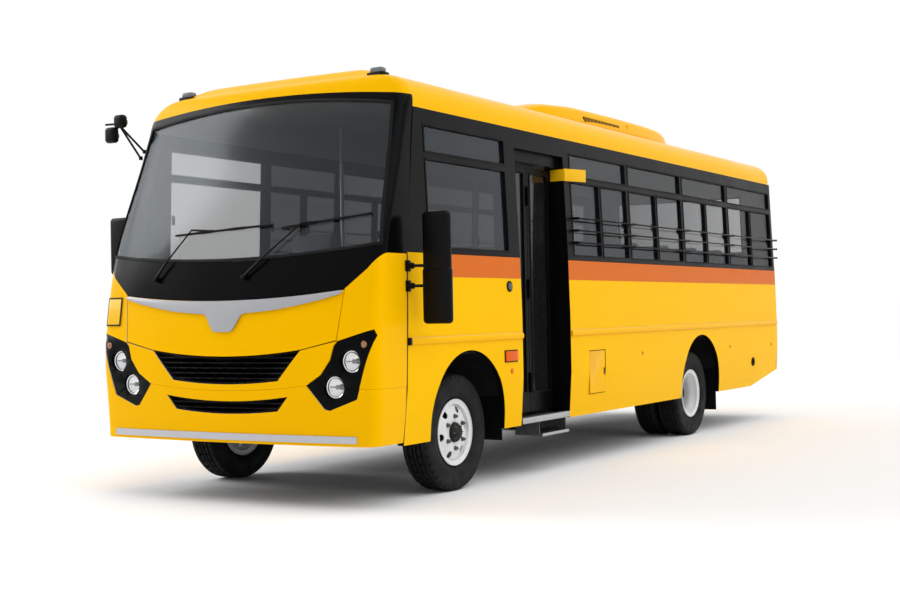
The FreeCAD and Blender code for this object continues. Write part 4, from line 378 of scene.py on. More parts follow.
@dataclass(frozen=True)
class TyreRubber(Finish):
    """Cured rubber with the fine pores of its mould."""

    def height(self, tree: bpy.types.NodeTree,
               place: bpy.types.NodeSocket) -> bpy.types.NodeSocket:
        """Fine pores of the mould."""
        pores = add_node(tree, "ShaderNodeTexVoronoi", inputs={
            "Vector": place, "Scale": per_metre(self.grain_mm)})
        return pores.outputs["Distance"]


@dataclass(frozen=True)
class TreadPlate(Finish):
    """Rolled aluminium plate with a raised lozenge pattern."""

    def height(self, tree: bpy.types.NodeTree,
               place: bpy.types.NodeSocket) -> bpy.types.NodeSocket:
        """Crossing rows of lozenges, drawn 24 mm apart."""
        one = add_node(tree, "ShaderNodeTexWave", {"bands_direction": "DIAGONAL"}, {
            "Vector": place, "Scale": per_metre(self.grain_mm) / WAVE_TURN})
        turned = add_node(tree, "ShaderNodeMapping", inputs={
            "Vector": place, "Rotation": (0.0, 0.0, math.radians(90))})
        two = add_node(tree, "ShaderNodeTexWave", {"bands_direction": "DIAGONAL"}, {
            "Vector": turned.outputs["Vector"], "Scale": per_metre(self.grain_mm) / WAVE_TURN})
        return reckon(tree, "MULTIPLY", one.outputs["Fac"], two.outputs["Fac"])


@dataclass(frozen=True)
class Vinyl(Finish):
    """Calendered vinyl with an embossed leather grain."""

    def height(self, tree: bpy.types.NodeTree,
               place: bpy.types.NodeSocket) -> bpy.types.NodeSocket:
        """Pebbles of the embossed grain."""
        pebbles = add_node(tree, "ShaderNodeTexVoronoi", inputs={
            "Vector": place, "Scale": per_metre(self.grain_mm), "Randomness": 0.8})
        return pebbles.outputs["Distance"]


@dataclass(frozen=True)
class ReflectiveTape(Finish):
    """Prismatic tape: a silver film with a honeycomb of cells."""

    def height(self, tree: bpy.types.NodeTree,
               place: bpy.types.NodeSocket) -> bpy.types.NodeSocket:
        """Cells of the film, drawn at their real size."""
        cells = add_node(tree, "ShaderNodeTexVoronoi", {"feature": "DISTANCE_TO_EDGE"}, {
            "Vector": place, "Scale": per_metre(self.grain_mm), "Randomness": 0.1})
        return cells.outputs["Distance"]


class Paint(Enum):
    """Every finish of the bus, by what it is made of."""

    # Stoved enamel on steel: deep warm yellow, glossy, faintly rippled like orange peel
    YELLOW = BodyEnamel("stoved_yellow_enamel", "FCBD00", 0.24, specular=0.05, grain_mm=9.0,
                        relief=0.03, patch=0.03, patch_mm=900.0, gloss_tint="FFD24A")
    # The same enamel on the side panels, with painted shade: near black on their cut edges and the
    # other faces that turn away from the outside
    SIDES = BodyEnamel("side_yellow_enamel", "FEC200", 0.26, specular=0.025, grain_mm=9.0,
                       relief=0.03, patch=0.03, patch_mm=900.0, gloss_tint="FFD24A",
                       shaded_edges=True)
    # Black enamel on the window band: satin, a little dusty
    BLACK = Finish("satin_black_enamel", "070708", 0.34, specular=0.08, grain_mm=6.0,
                   relief=0.03)
    # Glossy acrylic moulding round the windscreen and the lamps
    GLOSS = Finish("gloss_black_acrylic", "040405", 0.18, specular=0.10, grain_mm=12.0,
                   relief=0.015, gloss_tint="B8BCC0")
    # Moulded grille plastic, darkened past its own black as painted shade so that the lit tops of
    # its fins stay dark
    GRILLE = Finish("moulded_grille_plastic", "020202", 0.5, specular=0.06, grain_mm=2.0,
                    relief=0.15)
    # Grained polypropylene of mirrors, wipers and dashboard
    PLASTIC = Finish("grained_polypropylene", "070708", 0.36, specular=0.10, grain_mm=1.6,
                     relief=0.25)
    # Extruded rubber of seals and flaps
    SEAL = Finish("extruded_rubber", "060607", 0.6, specular=0.15, grain_mm=2.4, relief=0.15)
    # Cured tyre rubber: dark, slightly brown with dust
    TYRE = TyreRubber("cured_tyre_rubber", "131314", 0.7, specular=0.22, grain_mm=2.0,
                      relief=0.2, patch=0.25, patch_mm=90.0)
    # Pressed steel wheel in white enamel
    WHEEL = Finish("white_wheel_enamel", "E6E7E8", 0.36, grain_mm=7.0, relief=0.04,
                   patch=0.12, patch_mm=120.0)
    # Chassis black: matt paint with road dust
    CHASSIS = Finish("matt_chassis_paint", "121213", 0.7, specular=0.3, grain_mm=5.0,
                     relief=0.2, patch=0.35, patch_mm=220.0)
    # Cast iron: dark, rough, lightly rusted
    IRON = Finish("rough_cast_iron", "221F1D", 0.7, metallic=0.4, grain_mm=3.0, relief=0.4,
                  patch=0.3, patch_mm=60.0)
    # Spring steel, oiled and dusty
    SPRING = Finish("oiled_spring_steel", "26272A", 0.5, metallic=0.8, grain_mm=4.0, relief=0.2)
    # Silver painted moulding of the front trim
    TRIM = Finish("silver_satin_trim", "A7A8AC", 0.34, metallic=0.35, specular=0.3,
                  grain_mm=5.0, relief=0.02)
    # Chrome of the lamp bowls
    CHROME = Finish("bright_chrome", "E4E6E8", 0.07, metallic=1.0, grain_mm=20.0, relief=0.02)
    # Zinc plating of nuts and bolts, dulled
    ZINC = Finish("zinc_plated_steel", "6E7173", 0.38, metallic=0.9, grain_mm=2.0, relief=0.1)
    # Mirror glass
    MIRROR = Finish("silvered_mirror", "D8DCE0", 0.03, metallic=1.0, relief=0.0)
    # Grey tinted toughened glass of the side windows
    GLASS = SheetGlass("grey_toughened_glass", "141B21", 0.05, specular=0.55, grain_mm=300.0,
                       relief=0.0, alpha=0.7, rear_alpha=0.24, driver_alpha=0.07,
                       gloss_tint="E2EDF6")
    # Toughened glass of the door: the same grey, almost closed against the dark cabin
    DOOR_GLASS = SheetGlass("grey_door_glass", "191A1C", 0.07, specular=0.45, grain_mm=300.0,
                            relief=0.0, alpha=0.9, rear_alpha=0.9, driver_alpha=0.9)
    # Laminated windscreen: clearer than the side glass, and clearest at its far corner
    SCREEN = SheetGlass("laminated_screen_glass", "0C1116", 0.14, specular=0.8, grain_mm=400.0,
                        relief=0.0, alpha=0.42, rear_alpha=0.42, driver_alpha=0.3,
                        gloss_tint="DDE7EE")
    # Clear moulded lamp lens
    LENS = LensGlass("clear_lamp_lens", "E8EAEC", 0.06, grain_mm=7.0, relief=0.1, alpha=0.18)
    # Clear cap of the roof lamps over a grey reflector
    CAP = LensGlass("smoked_lamp_cap", "6C7074", 0.10, grain_mm=6.0, relief=0.15, alpha=0.85)
    # Amber and red moulded lenses
    AMBER = LensGlass("amber_lens", "F06400", 0.12, specular=0.12, grain_mm=4.0, relief=0.3,
                      alpha=0.94)
    FADED = LensGlass("faded_amber_lens", "A9714A", 0.14, grain_mm=4.0, relief=0.2, alpha=0.92)
    RED = LensGlass("red_lens", "B80F0C", 0.12, specular=0.2, grain_mm=4.0, relief=0.3, alpha=0.92)
    # Silver prismatic tape on the bumper
    TAPE = ReflectiveTape("prismatic_silver_tape", "C2C2C8", 0.45, metallic=0.1, specular=0.3,
                          grain_mm=6.0, relief=0.15, patch_mm=60.0, patch=0.05)
    # Ribbed rubber sheet on the floor
    FLOOR = Finish("ribbed_floor_rubber", "2F3032", 0.6, grain_mm=5.0, relief=0.3)
    # Tread plate of the steps
    PLATE = TreadPlate("rolled_tread_plate", "5F6163", 0.45, metallic=0.8, grain_mm=24.0,
                       relief=0.6)
    # Extruded aluminium of sills and edges
    ALLOY = Finish("extruded_aluminium", "B4B7BA", 0.33, metallic=0.95, grain_mm=1.5,
                   relief=0.05)
    # Grained vinyl of the seats
    VINYL = Vinyl("grained_seat_vinyl", "4A525C", 0.5, grain_mm=2.2, relief=0.35,
                  patch=0.12, patch_mm=120.0)
    # Yellow enamel of the plain sign boards
    BOARD = Finish("sign_board_enamel", "FBC004", 0.35, specular=0.25, grain_mm=8.0,
                   relief=0.03)
    # Aluminised steel of the exhaust, dulled by heat
    EXHAUST = Finish("aluminised_steel", "5B554E", 0.5, metallic=0.8, grain_mm=4.0,
                     relief=0.2, patch=0.35, patch_mm=80.0)

    def material(self) -> bpy.types.Material:
        """The finish's material."""
        return self.value.build()


BODY_OF = {node: body for body, nodes in frame["record"]["behaviour"]["bodies"].items()
           for node in nodes}


class Form:
    """A mesh in the making, shaped by bmesh operators."""

    def __init__(self) -> None:
        """Start with an empty mesh."""
        self.mesh = bmesh.new()

    def block(self, low: Point, high: Point, bevel: float = 0.0, steps: int = 2,
              turn: Optional[Matrix] = None) -> list[bmesh.types.BMVert]:
        """Add a box between two corners, with its edges rounded.

        Args:
            low: the lowest corner.
            high: the highest corner.
            bevel: the radius of its edges.
            steps: how many segments each rounded edge has.
            turn: a turn about the box's middle.

        Returns:
            The vertices of the box before its edges were rounded.
        """
        low_v, high_v = Vector(low), Vector(high)
        size = high_v - low_v
        matrix = Matrix.Translation((low_v + high_v) / 2) @ (turn or Matrix()) @ \
            Matrix.Diagonal((*size, 1.0))
        verts = bmesh.ops.create_cube(self.mesh, size=1.0, matrix=matrix)["verts"]
        self.round(verts, bevel, steps)
        return verts

    def round(self, verts: Iterable[bmesh.types.BMVert], bevel: float, steps: int) -> None:
        """Round every edge between the given vertices.

        Args:
            verts: the vertices of a shape.
            bevel: the radius.
            steps: how many segments each rounded edge has.
        """
        if bevel <= 0:
            return
        edges = {edge for vert in verts for edge in vert.link_edges}
        bmesh.ops.bevel(self.mesh, geom=list(edges), offset=bevel, offset_type="OFFSET",
                        segments=steps, profile=0.5, affect="EDGES", clamp_overlap=True,
                        material=-1)

    def rod(self, start: Point, end: Point, radius: float, sides: int = 16,
            far_radius: Optional[float] = None, bevel: float = 0.0) -> None:
        """Add a round rod or cone between two points.

        Args:
            start: the middle of one end.
            end: the middle of the other end.
            radius: its radius at the start.
            sides: how many sides it has.
            far_radius: its radius at the end, if it tapers.
            bevel: the radius of its end edges.
        """
        one, two = Vector(start), Vector(end)
        along = two - one
        matrix = Matrix.Translation((one + two) / 2) @ \
            along.to_track_quat("Z", "Y").to_matrix().to_4x4()
        verts = bmesh.ops.create_cone(
            self.mesh, cap_ends=True, segments=sides, radius1=radius,
            radius2=radius if far_radius is None else far_radius, depth=along.length,
            matrix=matrix)["verts"]
        if bevel > 0:
            rims = {edge for vert in verts for edge in vert.link_edges
                    if abs((edge.verts[0].co - edge.verts[1].co).normalized().dot(
                        along.normalized())) < 0.5}
            bmesh.ops.bevel(self.mesh, geom=list(rims), offset=bevel, offset_type="OFFSET",
                            segments=2, profile=0.5, affect="EDGES", clamp_overlap=True,
                            material=-1)

    def lathe(self, profile: Sequence[Pair], centre: Point, axis: Point,
              steps: int = 48) -> None:
        """Turn an outline of (distance along the axis, radius) round an axis.

        Args:
            profile: the outline's points.
            centre: a point on the axis, where the distance is nought.
            axis: the axis's direction.
            steps: how many segments the turn has.
        """
        way = Vector(axis).normalized()
        side = way.orthogonal().normalized()
        middle = Vector(centre)
        verts = [self.mesh.verts.new(middle + way * along + side * radius)
                 for along, radius in profile]
        edges = [self.mesh.edges.new(pair) for pair in zip(verts, verts[1:])]
        bmesh.ops.spin(self.mesh, geom=[*verts, *edges], cent=middle, axis=way,
                       dvec=(0, 0, 0), angle=math.tau, steps=steps, use_merge=True,
                       use_duplicate=False)

    def plate(self, outline: Sequence[Point], push: Point, bevel: float = 0.0,
              steps: int = 2) -> None:
        """Add a plate: a flat outline that is extruded.

        Args:
            outline: the outline's corners.
            push: how far and which way it is extruded.
            bevel: the radius of its edges.
            steps: how many segments each rounded edge has.
        """
        verts = [self.mesh.verts.new(Vector(point)) for point in outline]
        face = self.mesh.faces.new(verts)
        made = bmesh.ops.extrude_face_region(self.mesh, geom=[face])["geom"]
        far = [item for item in made if isinstance(item, bmesh.types.BMVert)]
        bmesh.ops.translate(self.mesh, verts=far, vec=Vector(push))
        self.round([*verts, *far], bevel, steps)

    def ring(self, low: Pair, high: Pair, width: float, place: Callable[[float, float], Point],
             push: Point) -> None:
        """Add a flat rectangular frame, such as a window seal.

        Args:
            low: the lowest inner corner of the opening.
            high: the highest inner corner of the opening.
            width: how wide the frame is, outwards from the opening.
            place: turns the two flat coordinates into a point.
            push: how far and which way it is extruded.
        """
        corners = [(low[0] - width, low[1] - width), (high[0] + width, low[1] - width),
                   (high[0] + width, high[1] + width), (low[0] - width, high[1] + width)]
        verts = [self.mesh.verts.new(Vector(place(*corner))) for corner in corners]
        face = self.mesh.faces.new(verts)
        face.normal_update()
        bmesh.ops.inset_individual(self.mesh, faces=[face], thickness=width,
                                   use_even_offset=True)
        border = [item for item in self.mesh.faces
                  if item is not face and set(item.verts) & set(verts)]
        bmesh.ops.delete(self.mesh, geom=[face], context="FACES_ONLY")
        made = bmesh.ops.extrude_face_region(self.mesh, geom=border)["geom"]
        far = [item for item in made if isinstance(item, bmesh.types.BMVert)]
        bmesh.ops.translate(self.mesh, verts=far, vec=Vector(push))

    def bend(self, mover: Callable[[Vector], Vector]) -> None:
        """Move every vertex to where the mover says."""
        for vert in self.mesh.verts:
            vert.co = mover(vert.co)

    def copy_turned(self, axis: str, centre: Point, copies: int) -> None:
        """Repeat what is there evenly round an axis.

        Args:
            axis: the letter of the axis.
            centre: a point on the axis.
            copies: how many there are in the end.
        """
        whole = [*self.mesh.verts, *self.mesh.edges, *self.mesh.faces]
        for step in range(1, copies):
            made = bmesh.ops.duplicate(self.mesh, geom=whole)["geom"]
            verts = [item for item in made if isinstance(item, bmesh.types.BMVert)]
            bmesh.ops.rotate(self.mesh, verts=verts, cent=Vector(centre),
                             matrix=Matrix.Rotation(math.tau * step / copies, 3, axis))

    def piece(self, name: str, paint: Paint, body: str, slot: str,
              replaces: Sequence[str] = (), smooth: float = SMOOTH_ANGLE) -> bpy.types.Object:
        """Turn the mesh into a finished piece that rides on a body.

        Args:
            name: the piece's name.
            paint: its finish.
            body: the body that it rides on.
            slot: the record's material slot; not used.
            replaces: the nodes that it stands for.
            smooth: the angle past which an edge stays sharp.

        Returns:
            The finished piece.
        """
        bmesh.ops.remove_doubles(self.mesh, verts=list(self.mesh.verts), dist=FORM_MERGE)
        bmesh.ops.recalc_face_normals(self.mesh, faces=list(self.mesh.faces))
        data = bpy.data.meshes.new(name)
        self.mesh.to_mesh(data)
        self.mesh.free()
        return settle(name, data, paint, body, replaces, smooth)


def settle(name: str, data: bpy.types.Mesh, paint: Paint, body: str,
           replaces: Sequence[str] = (), smooth: float = SMOOTH_ANGLE) -> bpy.types.Object:
    """Put a mesh into the scene as a piece.

    Args:
        name: the piece's name.
        data: its mesh.
        paint: its finish.
        body: the body that it rides on.
        replaces: the nodes that it stands for.
        smooth: the angle past which an edge stays sharp.

    Returns:
        The piece.
    """
    data.materials.clear()
    data.materials.append(paint.material())
    data.shade_smooth()
    data.set_sharp_from_angle(angle=smooth)
    piece = bpy.data.objects.new(name, data)
    bpy.context.scene.collection.objects.link(piece)
    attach(piece, body)
    if replaces:
        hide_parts(*replaces)
    LOG.info("%s: %d faces on %s", name, len(data.polygons), body)
    return piece


def panel(node: str, paint: Paint, bevel: float = SEAM_BEVEL, steps: int = 2,
          smooth: float = SMOOTH_ANGLE) -> bpy.types.Object:
    """Stand a merged, smooth copy of a node in its place, with its edges broken.

    Args:
        node: the node.
        paint: its finish.
        bevel: the radius of its edges.
        steps: how many segments each edge has.
        smooth: the angle past which an edge stays sharp.

    Returns:
        The piece.
    """
    source = frame["nodes"][node]
    mesh = bmesh.new()
    mesh.from_mesh(source.data)
    bmesh.ops.remove_doubles(mesh, verts=list(mesh.verts), dist=NODE_MERGE)
    if bevel > 0:
        bmesh.ops.dissolve_limit(mesh, angle_limit=FLAT_ANGLE, verts=list(mesh.verts),
                                 edges=list(mesh.edges))
    data = bpy.data.meshes.new(f"{node}_panel")
    mesh.to_mesh(data)
    mesh.free()
    piece = settle(f"{node}_panel", data, paint, BODY_OF[node], (node,),
                   smooth)
    if bevel > 0:
        edge = piece.modifiers.new("broken_edges", "BEVEL")
        edge.width = bevel
        edge.segments = steps
        edge.limit_method = "ANGLE"
        edge.angle_limit = BREAK_ANGLE
        edge.harden_normals = True
    return piece


def paint_node(node: str, paint: Paint) -> None:
    """Give a node that stays its own finish."""
    thing = frame["nodes"][node]
    thing.data.materials.clear()
    thing.data.materials.append(paint.material())
    LOG.info("%s keeps its shape", node)


def wall_at(up: float) -> float:
    """Half the width of the body's outside at a height."""
    widths = ((0.39, 1.150), (0.75, 1.175), (1.20, 1.175), (1.629, 1.165), (2.59, 1.125))
    for (low, near), (high, far) in zip(widths, widths[1:]):
        if up <= high:
            return near + (far - near) * max(up - low, 0.0) / (high - low)
    return widths[-1][1]


@dataclass
class NoseSkin:
    """The bowed, leaning skin of the front, as the body shell has it."""

    bow: float = 10.3
    corner: float = 0.09
    half: float = 1.175
    profile: tuple[Pair, ...] = ((0.0, 0.0), (1.1, 0.0), (1.35, 0.035), (1.64, 0.092),
                                 (2.1, 0.254), (2.59, 0.430))

    def lean(self, up: float) -> float:
        """How far the skin has leaned back at a height."""
        for (low, near), (high, far) in zip(self.profile, self.profile[1:]):
            if up <= high:
                return near + (far - near) * (up - low) / (high - low)
        return self.profile[-1][1]

    def station(self, across: float, up: float) -> float:
        """The station of the skin at a place of the front.

        Args:
            across: the X of the place.
            up: its height.

        Returns:
            How far the skin lies behind the foremost line.
        """
        wide = abs(across)
        centre = self.half - self.corner
        drop = math.sqrt((self.bow - self.corner) ** 2 - centre ** 2)
        touch = centre * self.bow / (self.bow - self.corner)
        if wide <= touch:
            back = self.bow - math.sqrt(self.bow ** 2 - wide ** 2)
        else:
            reach = min(wide - centre, self.corner)
            back = self.bow - drop - math.sqrt(self.corner ** 2 - reach ** 2)
        return self.lean(up) + back

    def wrap(self, proud: float = 0.0) -> Callable[[Vector], Vector]:
        """A mover that lays a flat form on the skin.

        Args:
            proud: how far it stands out of the skin.

        Returns:
            The mover; a form's own Y counts as its thickness, forwards.
        """
        def mover(point: Vector) -> Vector:
            return Vector((point.x, at(self.station(point.x, point.z)) - proud + point.y,
                           point.z))
        return mover


SKIN = NoseSkin()


@dataclass
class BodyShell:
    """Painted panels of the body, with their broken edges."""

    yellow: tuple[str, ...] = ("front_bumper", "front_panel", "front_flap", "rear_shell",
                               "roof", "belt_mouldings")
    sides: tuple[str, ...] = ("side_left_front", "side_left_rear", "side_right")
    black: tuple[str, ...] = ("window_frame_left", "window_frame_right", "door_front_leaf",
                              "door_rear_leaf", "door_surround")
    seam_foot: tuple[float, float] = (0.390, 0.388)
    seam_head: tuple[float, float] = (1.626, 0.4525)

    def build(self) -> None:
        """Make every panel."""
        for node in self.yellow:
            panel(node, Paint.YELLOW, 0.008 if node == "belt_mouldings" else 0.0045, 3)
        for node in self.sides:
            panel(node, Paint.SIDES, 0.0035, 3, FOLD_ANGLE)
        panel("service_flap", Paint.YELLOW, 0.0, 1, FLAT_ANGLE)
        for node in self.black:
            panel(node, Paint.BLACK)
        self.corner_seams()
        panel("windscreen_surround", Paint.GLOSS, 0.004)
        panel("windshield", Paint.SCREEN, 0.0)
        panel("rear_window", Paint.GLASS, 0.0)
        self.seal("windshield", -1)
        self.seal("rear_window", 1)
        paint_node("side_windows", Paint.GLASS)
        for node in ("door_front_glass", "door_rear_glass"):
            paint_node(node, Paint.DOOR_GLASS)
        panel("lamp_housings", Paint.GLOSS, 0.0015, 2)
        panel("grilles", Paint.GRILLE, 0.0)

    def corner_seams(self) -> None:
        """Rubber beads in the upright seams between the front and the sides."""
        form = Form()
        (low, foot), (high, head) = self.seam_foot, self.seam_head
        levels = (low, 0.75, 1.20, high)
        for side in (1, -1):
            spots = [(wall_at(up) * side, at(foot + (head - foot) * (up - low) / (high - low)), up)
                     for up in levels]
            for one, two in zip(spots, spots[1:]):
                form.rod(one, two, 0.0048, 10)
        form.piece("corner_seam_beads", Paint.SEAL, "body", "black_plastic")
        caps = Form()
        for side in (1, -1):
            inner, outer = sorted((1.172 * side, 1.194 * side))
            caps.block((inner, at(0.424), 1.030), (outer, at(0.456), 1.078), 0.005, 3)
        caps.piece("belt_end_caps", Paint.SEAL, "body", "black_plastic")

    def seal(self, node: str, way: int, width: float = 0.020) -> None:
        """Lay a rubber seal along the rim of a pane.

        Args:
            node: the pane's node.
            way: the sign of Y on its outside.
            width: how wide the seal is.
        """
        form = Form()
        form.mesh.from_mesh(frame["nodes"][node].data)
        bmesh.ops.remove_doubles(form.mesh, verts=list(form.mesh.verts), dist=NODE_MERGE)
        form.mesh.normal_update()
        outside = [face for face in form.mesh.faces if face.normal.y * way > 0.5]
        border = bmesh.ops.inset_region(form.mesh, faces=outside, thickness=width,
                                        use_even_offset=True)["faces"]
        kept = set(border)
        bmesh.ops.delete(form.mesh, geom=[face for face in form.mesh.faces if face not in kept],
                         context="FACES")
        piece = form.piece(f"{node}_seal", Paint.SEAL, "body", "black_plastic")
        thick = piece.modifiers.new("rubber", "SOLIDIFY")
        thick.thickness = 0.008
        thick.offset = 1.0
        lip = piece.modifiers.new("lip", "BEVEL")
        lip.width = 0.0025
        lip.segments = 2
        lip.limit_method = "ANGLE"
        lip.angle_limit = math.radians(40)


@dataclass
class FrontTrim:
    """The silver moulding across the flap, with its bare shield."""

    half: float = 0.930
    top_edge: tuple[Pair, ...] = ((0.0, 1.3395), (0.300, 1.3450), (0.500, 1.3540),
                                  (0.700, 1.3680), (0.915, 1.3895), (0.930, 1.3830))
    foot_edge: tuple[Pair, ...] = ((0.0, 1.136), (0.072, 1.138), (0.084, 1.146),
                                   (0.112, 1.184), (0.142, 1.236), (0.160, 1.251),
                                   (0.190, 1.2575), (0.300, 1.2640), (0.450, 1.2780),
                                   (0.630, 1.3060), (0.800, 1.3380), (0.910, 1.3660),
                                   (0.930, 1.3760))
    spread: tuple[Pair, ...] = ((0.0, 0.0), (0.15, 0.070), (0.45, 0.200), (1.0, 0.930))

    @staticmethod
    def read(table: Sequence[Pair], place: float) -> float:
        """Read a table of pairs between its rows.

        Args:
            table: the rows, in rising order.
            place: where to read.

        Returns:
            The value there.
        """
        for (near, low), (far, high) in zip(table, table[1:]):
            if place <= far:
                return low + (high - low) * (place - near) / (far - near)
        return table[-1][1]

    def build(self) -> None:
        """Lay a flat grid on the flap and thicken it."""
        form = Form()
        bmesh.ops.create_grid(form.mesh, x_segments=112, y_segments=6, size=1.0)
        form.bend(self.lay)
        piece = form.piece("front_trim_moulding", Paint.TRIM, "front_flap", "trim_metal",
                           ("front_trim",))
        thick = piece.modifiers.new("moulding", "SOLIDIFY")
        thick.thickness = 0.007
        thick.offset = -1.0
        lip = piece.modifiers.new("rolled_edge", "BEVEL")
        lip.width = 0.004
        lip.segments = 3
        lip.limit_method = "ANGLE"
        lip.angle_limit = math.radians(50)
        lip.harden_normals = True

    def lay(self, point: Vector) -> Vector:
        """Move a point of the flat grid onto the flap."""
        wide = self.read(self.spread, abs(point.x))
        across = math.copysign(wide, point.x)
        low, high = self.read(self.foot_edge, wide), self.read(self.top_edge, wide)
        up = low + (high - low) * (point.y + 1) / 2
        crown = 0.002 * (1 - point.y ** 2)
        return Vector((across, at(SKIN.station(across, up)) - 0.0145 - crown, up))


@dataclass
class GuardBars:
    """Three round bars outside each row of windows, on small brackets."""

    levels: tuple[float, ...] = (1.770, 1.867, 1.964)
    starts: tuple[tuple[int, float], ...] = ((1, 2.868), (-1, 1.868))
    rear: float = 7.900
    posts: tuple[float, ...] = (1.882, 2.882, 3.990, 5.250, 6.490, 7.886)
    reach: float = 1.206
    radius: float = 0.0065

    def build(self) -> None:
        """Make the bars and their brackets on both sides."""
        bars, brackets = Form(), Form()
        for side, front in self.starts:
            for up in self.levels:
                bars.rod((self.reach * side, at(front), up), (self.reach * side, at(self.rear), up),
                         self.radius, 12, bevel=0.002)
                wall = wall_at(up)
                for post in self.posts:
                    if post < front:
                        continue
                    inner, outer = sorted(((wall - 0.004) * side, (self.reach + 0.010) * side))
                    brackets.block((inner, at(post) - 0.008, up - 0.010),
                                   (outer, at(post) + 0.008, up + 0.010), 0.003)
                    near, far = sorted(((wall - 0.004) * side, (wall + 0.004) * side))
                    brackets.block((near, at(post) - 0.020, up - 0.016),
                                   (far, at(post) + 0.020, up + 0.016), 0.002)
        bars.piece("guard_bars", Paint.BLACK, "body", "black_paint", ("window_bars",))
        brackets.piece("guard_bar_brackets", Paint.PLASTIC, "body", "black_plastic")


@dataclass
class Tyre:
    """A road tyre with ribs, shoulder notches and moulded sidewall rings."""

    name: str
    node: str
    body: str
    centres: tuple[float, ...]
    y: float
    radius: float = 0.404
    width: float = 0.215
    rim: float = 0.231
    bead: float = 0.2035
    axle: float = 0.404
    segments: int = 120

    def profile(self) -> list[Pair]:
        """The section, from one bead over the tread to the other.

        Returns:
            Points as distance from the tyre's middle and radius.
        """
        half, rise = self.width / 2, self.radius - self.rim
        seat = 0.0755
        side = [(seat, self.bead), (seat, self.rim + 0.006), (half * 0.86, self.rim + rise * 0.12),
                (half * 0.955, self.rim + rise * 0.27), (half * 0.965, self.rim + rise * 0.30),
                (half * 0.995, self.rim + rise * 0.42), (half, self.rim + rise * 0.55),
                (half * 0.985, self.rim + rise * 0.70), (half * 0.99, self.rim + rise * 0.715),
                (half * 0.96, self.rim + rise * 0.86), (half * 0.90, self.radius - 0.010),
                (half * 0.80, self.radius - 0.003), (half * 0.56, self.radius - 0.001),
                (half * 0.53, self.radius - 0.013), (half * 0.45, self.radius - 0.013),
                (half * 0.42, self.radius), (half * 0.20, self.radius),
                (half * 0.17, self.radius - 0.013), (half * 0.09, self.radius - 0.013),
                (half * 0.06, self.radius)]
        return [*side, *[(-across, up) for across, up in reversed(side)]]

    def build(self) -> bpy.types.Object:
        """Make the tyre or the pair of tyres.

        Returns:
            The piece.
        """
        form = Form()
        for centre in self.centres:
            form.lathe(self.profile(), (centre, self.y, self.axle), (1, 0, 0), self.segments)
        self.notch(form)
        return form.piece(self.name, Paint.TYRE, self.body, "tyre", (self.node,),
                          math.radians(28))

    def notch(self, form: Form) -> None:
        """Press notches into both shoulders and sipes into the ribs.

        Args:
            form: the turned tyre.
        """
        bmesh.ops.remove_doubles(form.mesh, verts=list(form.mesh.verts), dist=FORM_MERGE)
        middle = Vector((0, self.y, self.axle))
        shoulders = []
        for face in form.mesh.faces:
            spot = face.calc_center_median()
            reach = math.hypot(spot.y - middle.y, spot.z - middle.z)
            nearest = min(self.centres, key=lambda centre: abs(centre - spot.x))
            across = abs(spot.x - nearest) / (self.width / 2)
            turn = math.atan2(spot.z - middle.z, spot.y - middle.y) / math.tau * self.segments
            odd = int(math.floor(turn)) % 3 == 0
            if odd and 0.82 < across < 0.975 and reach > self.rim + (self.radius - self.rim) * 0.78:
                shoulders.append(face)
            elif odd and 0.2 < across < 0.42 and reach > self.radius - 0.002:
                shoulders.append(face)
        made = bmesh.ops.extrude_discrete_faces(form.mesh, faces=shoulders)["faces"]
        for face in made:
            spot = face.calc_center_median()
            inward = Vector((0, middle.y - spot.y, middle.z - spot.z)).normalized()
            for vert in face.verts:
                vert.co += inward * 0.008
        form.mesh.normal_update()


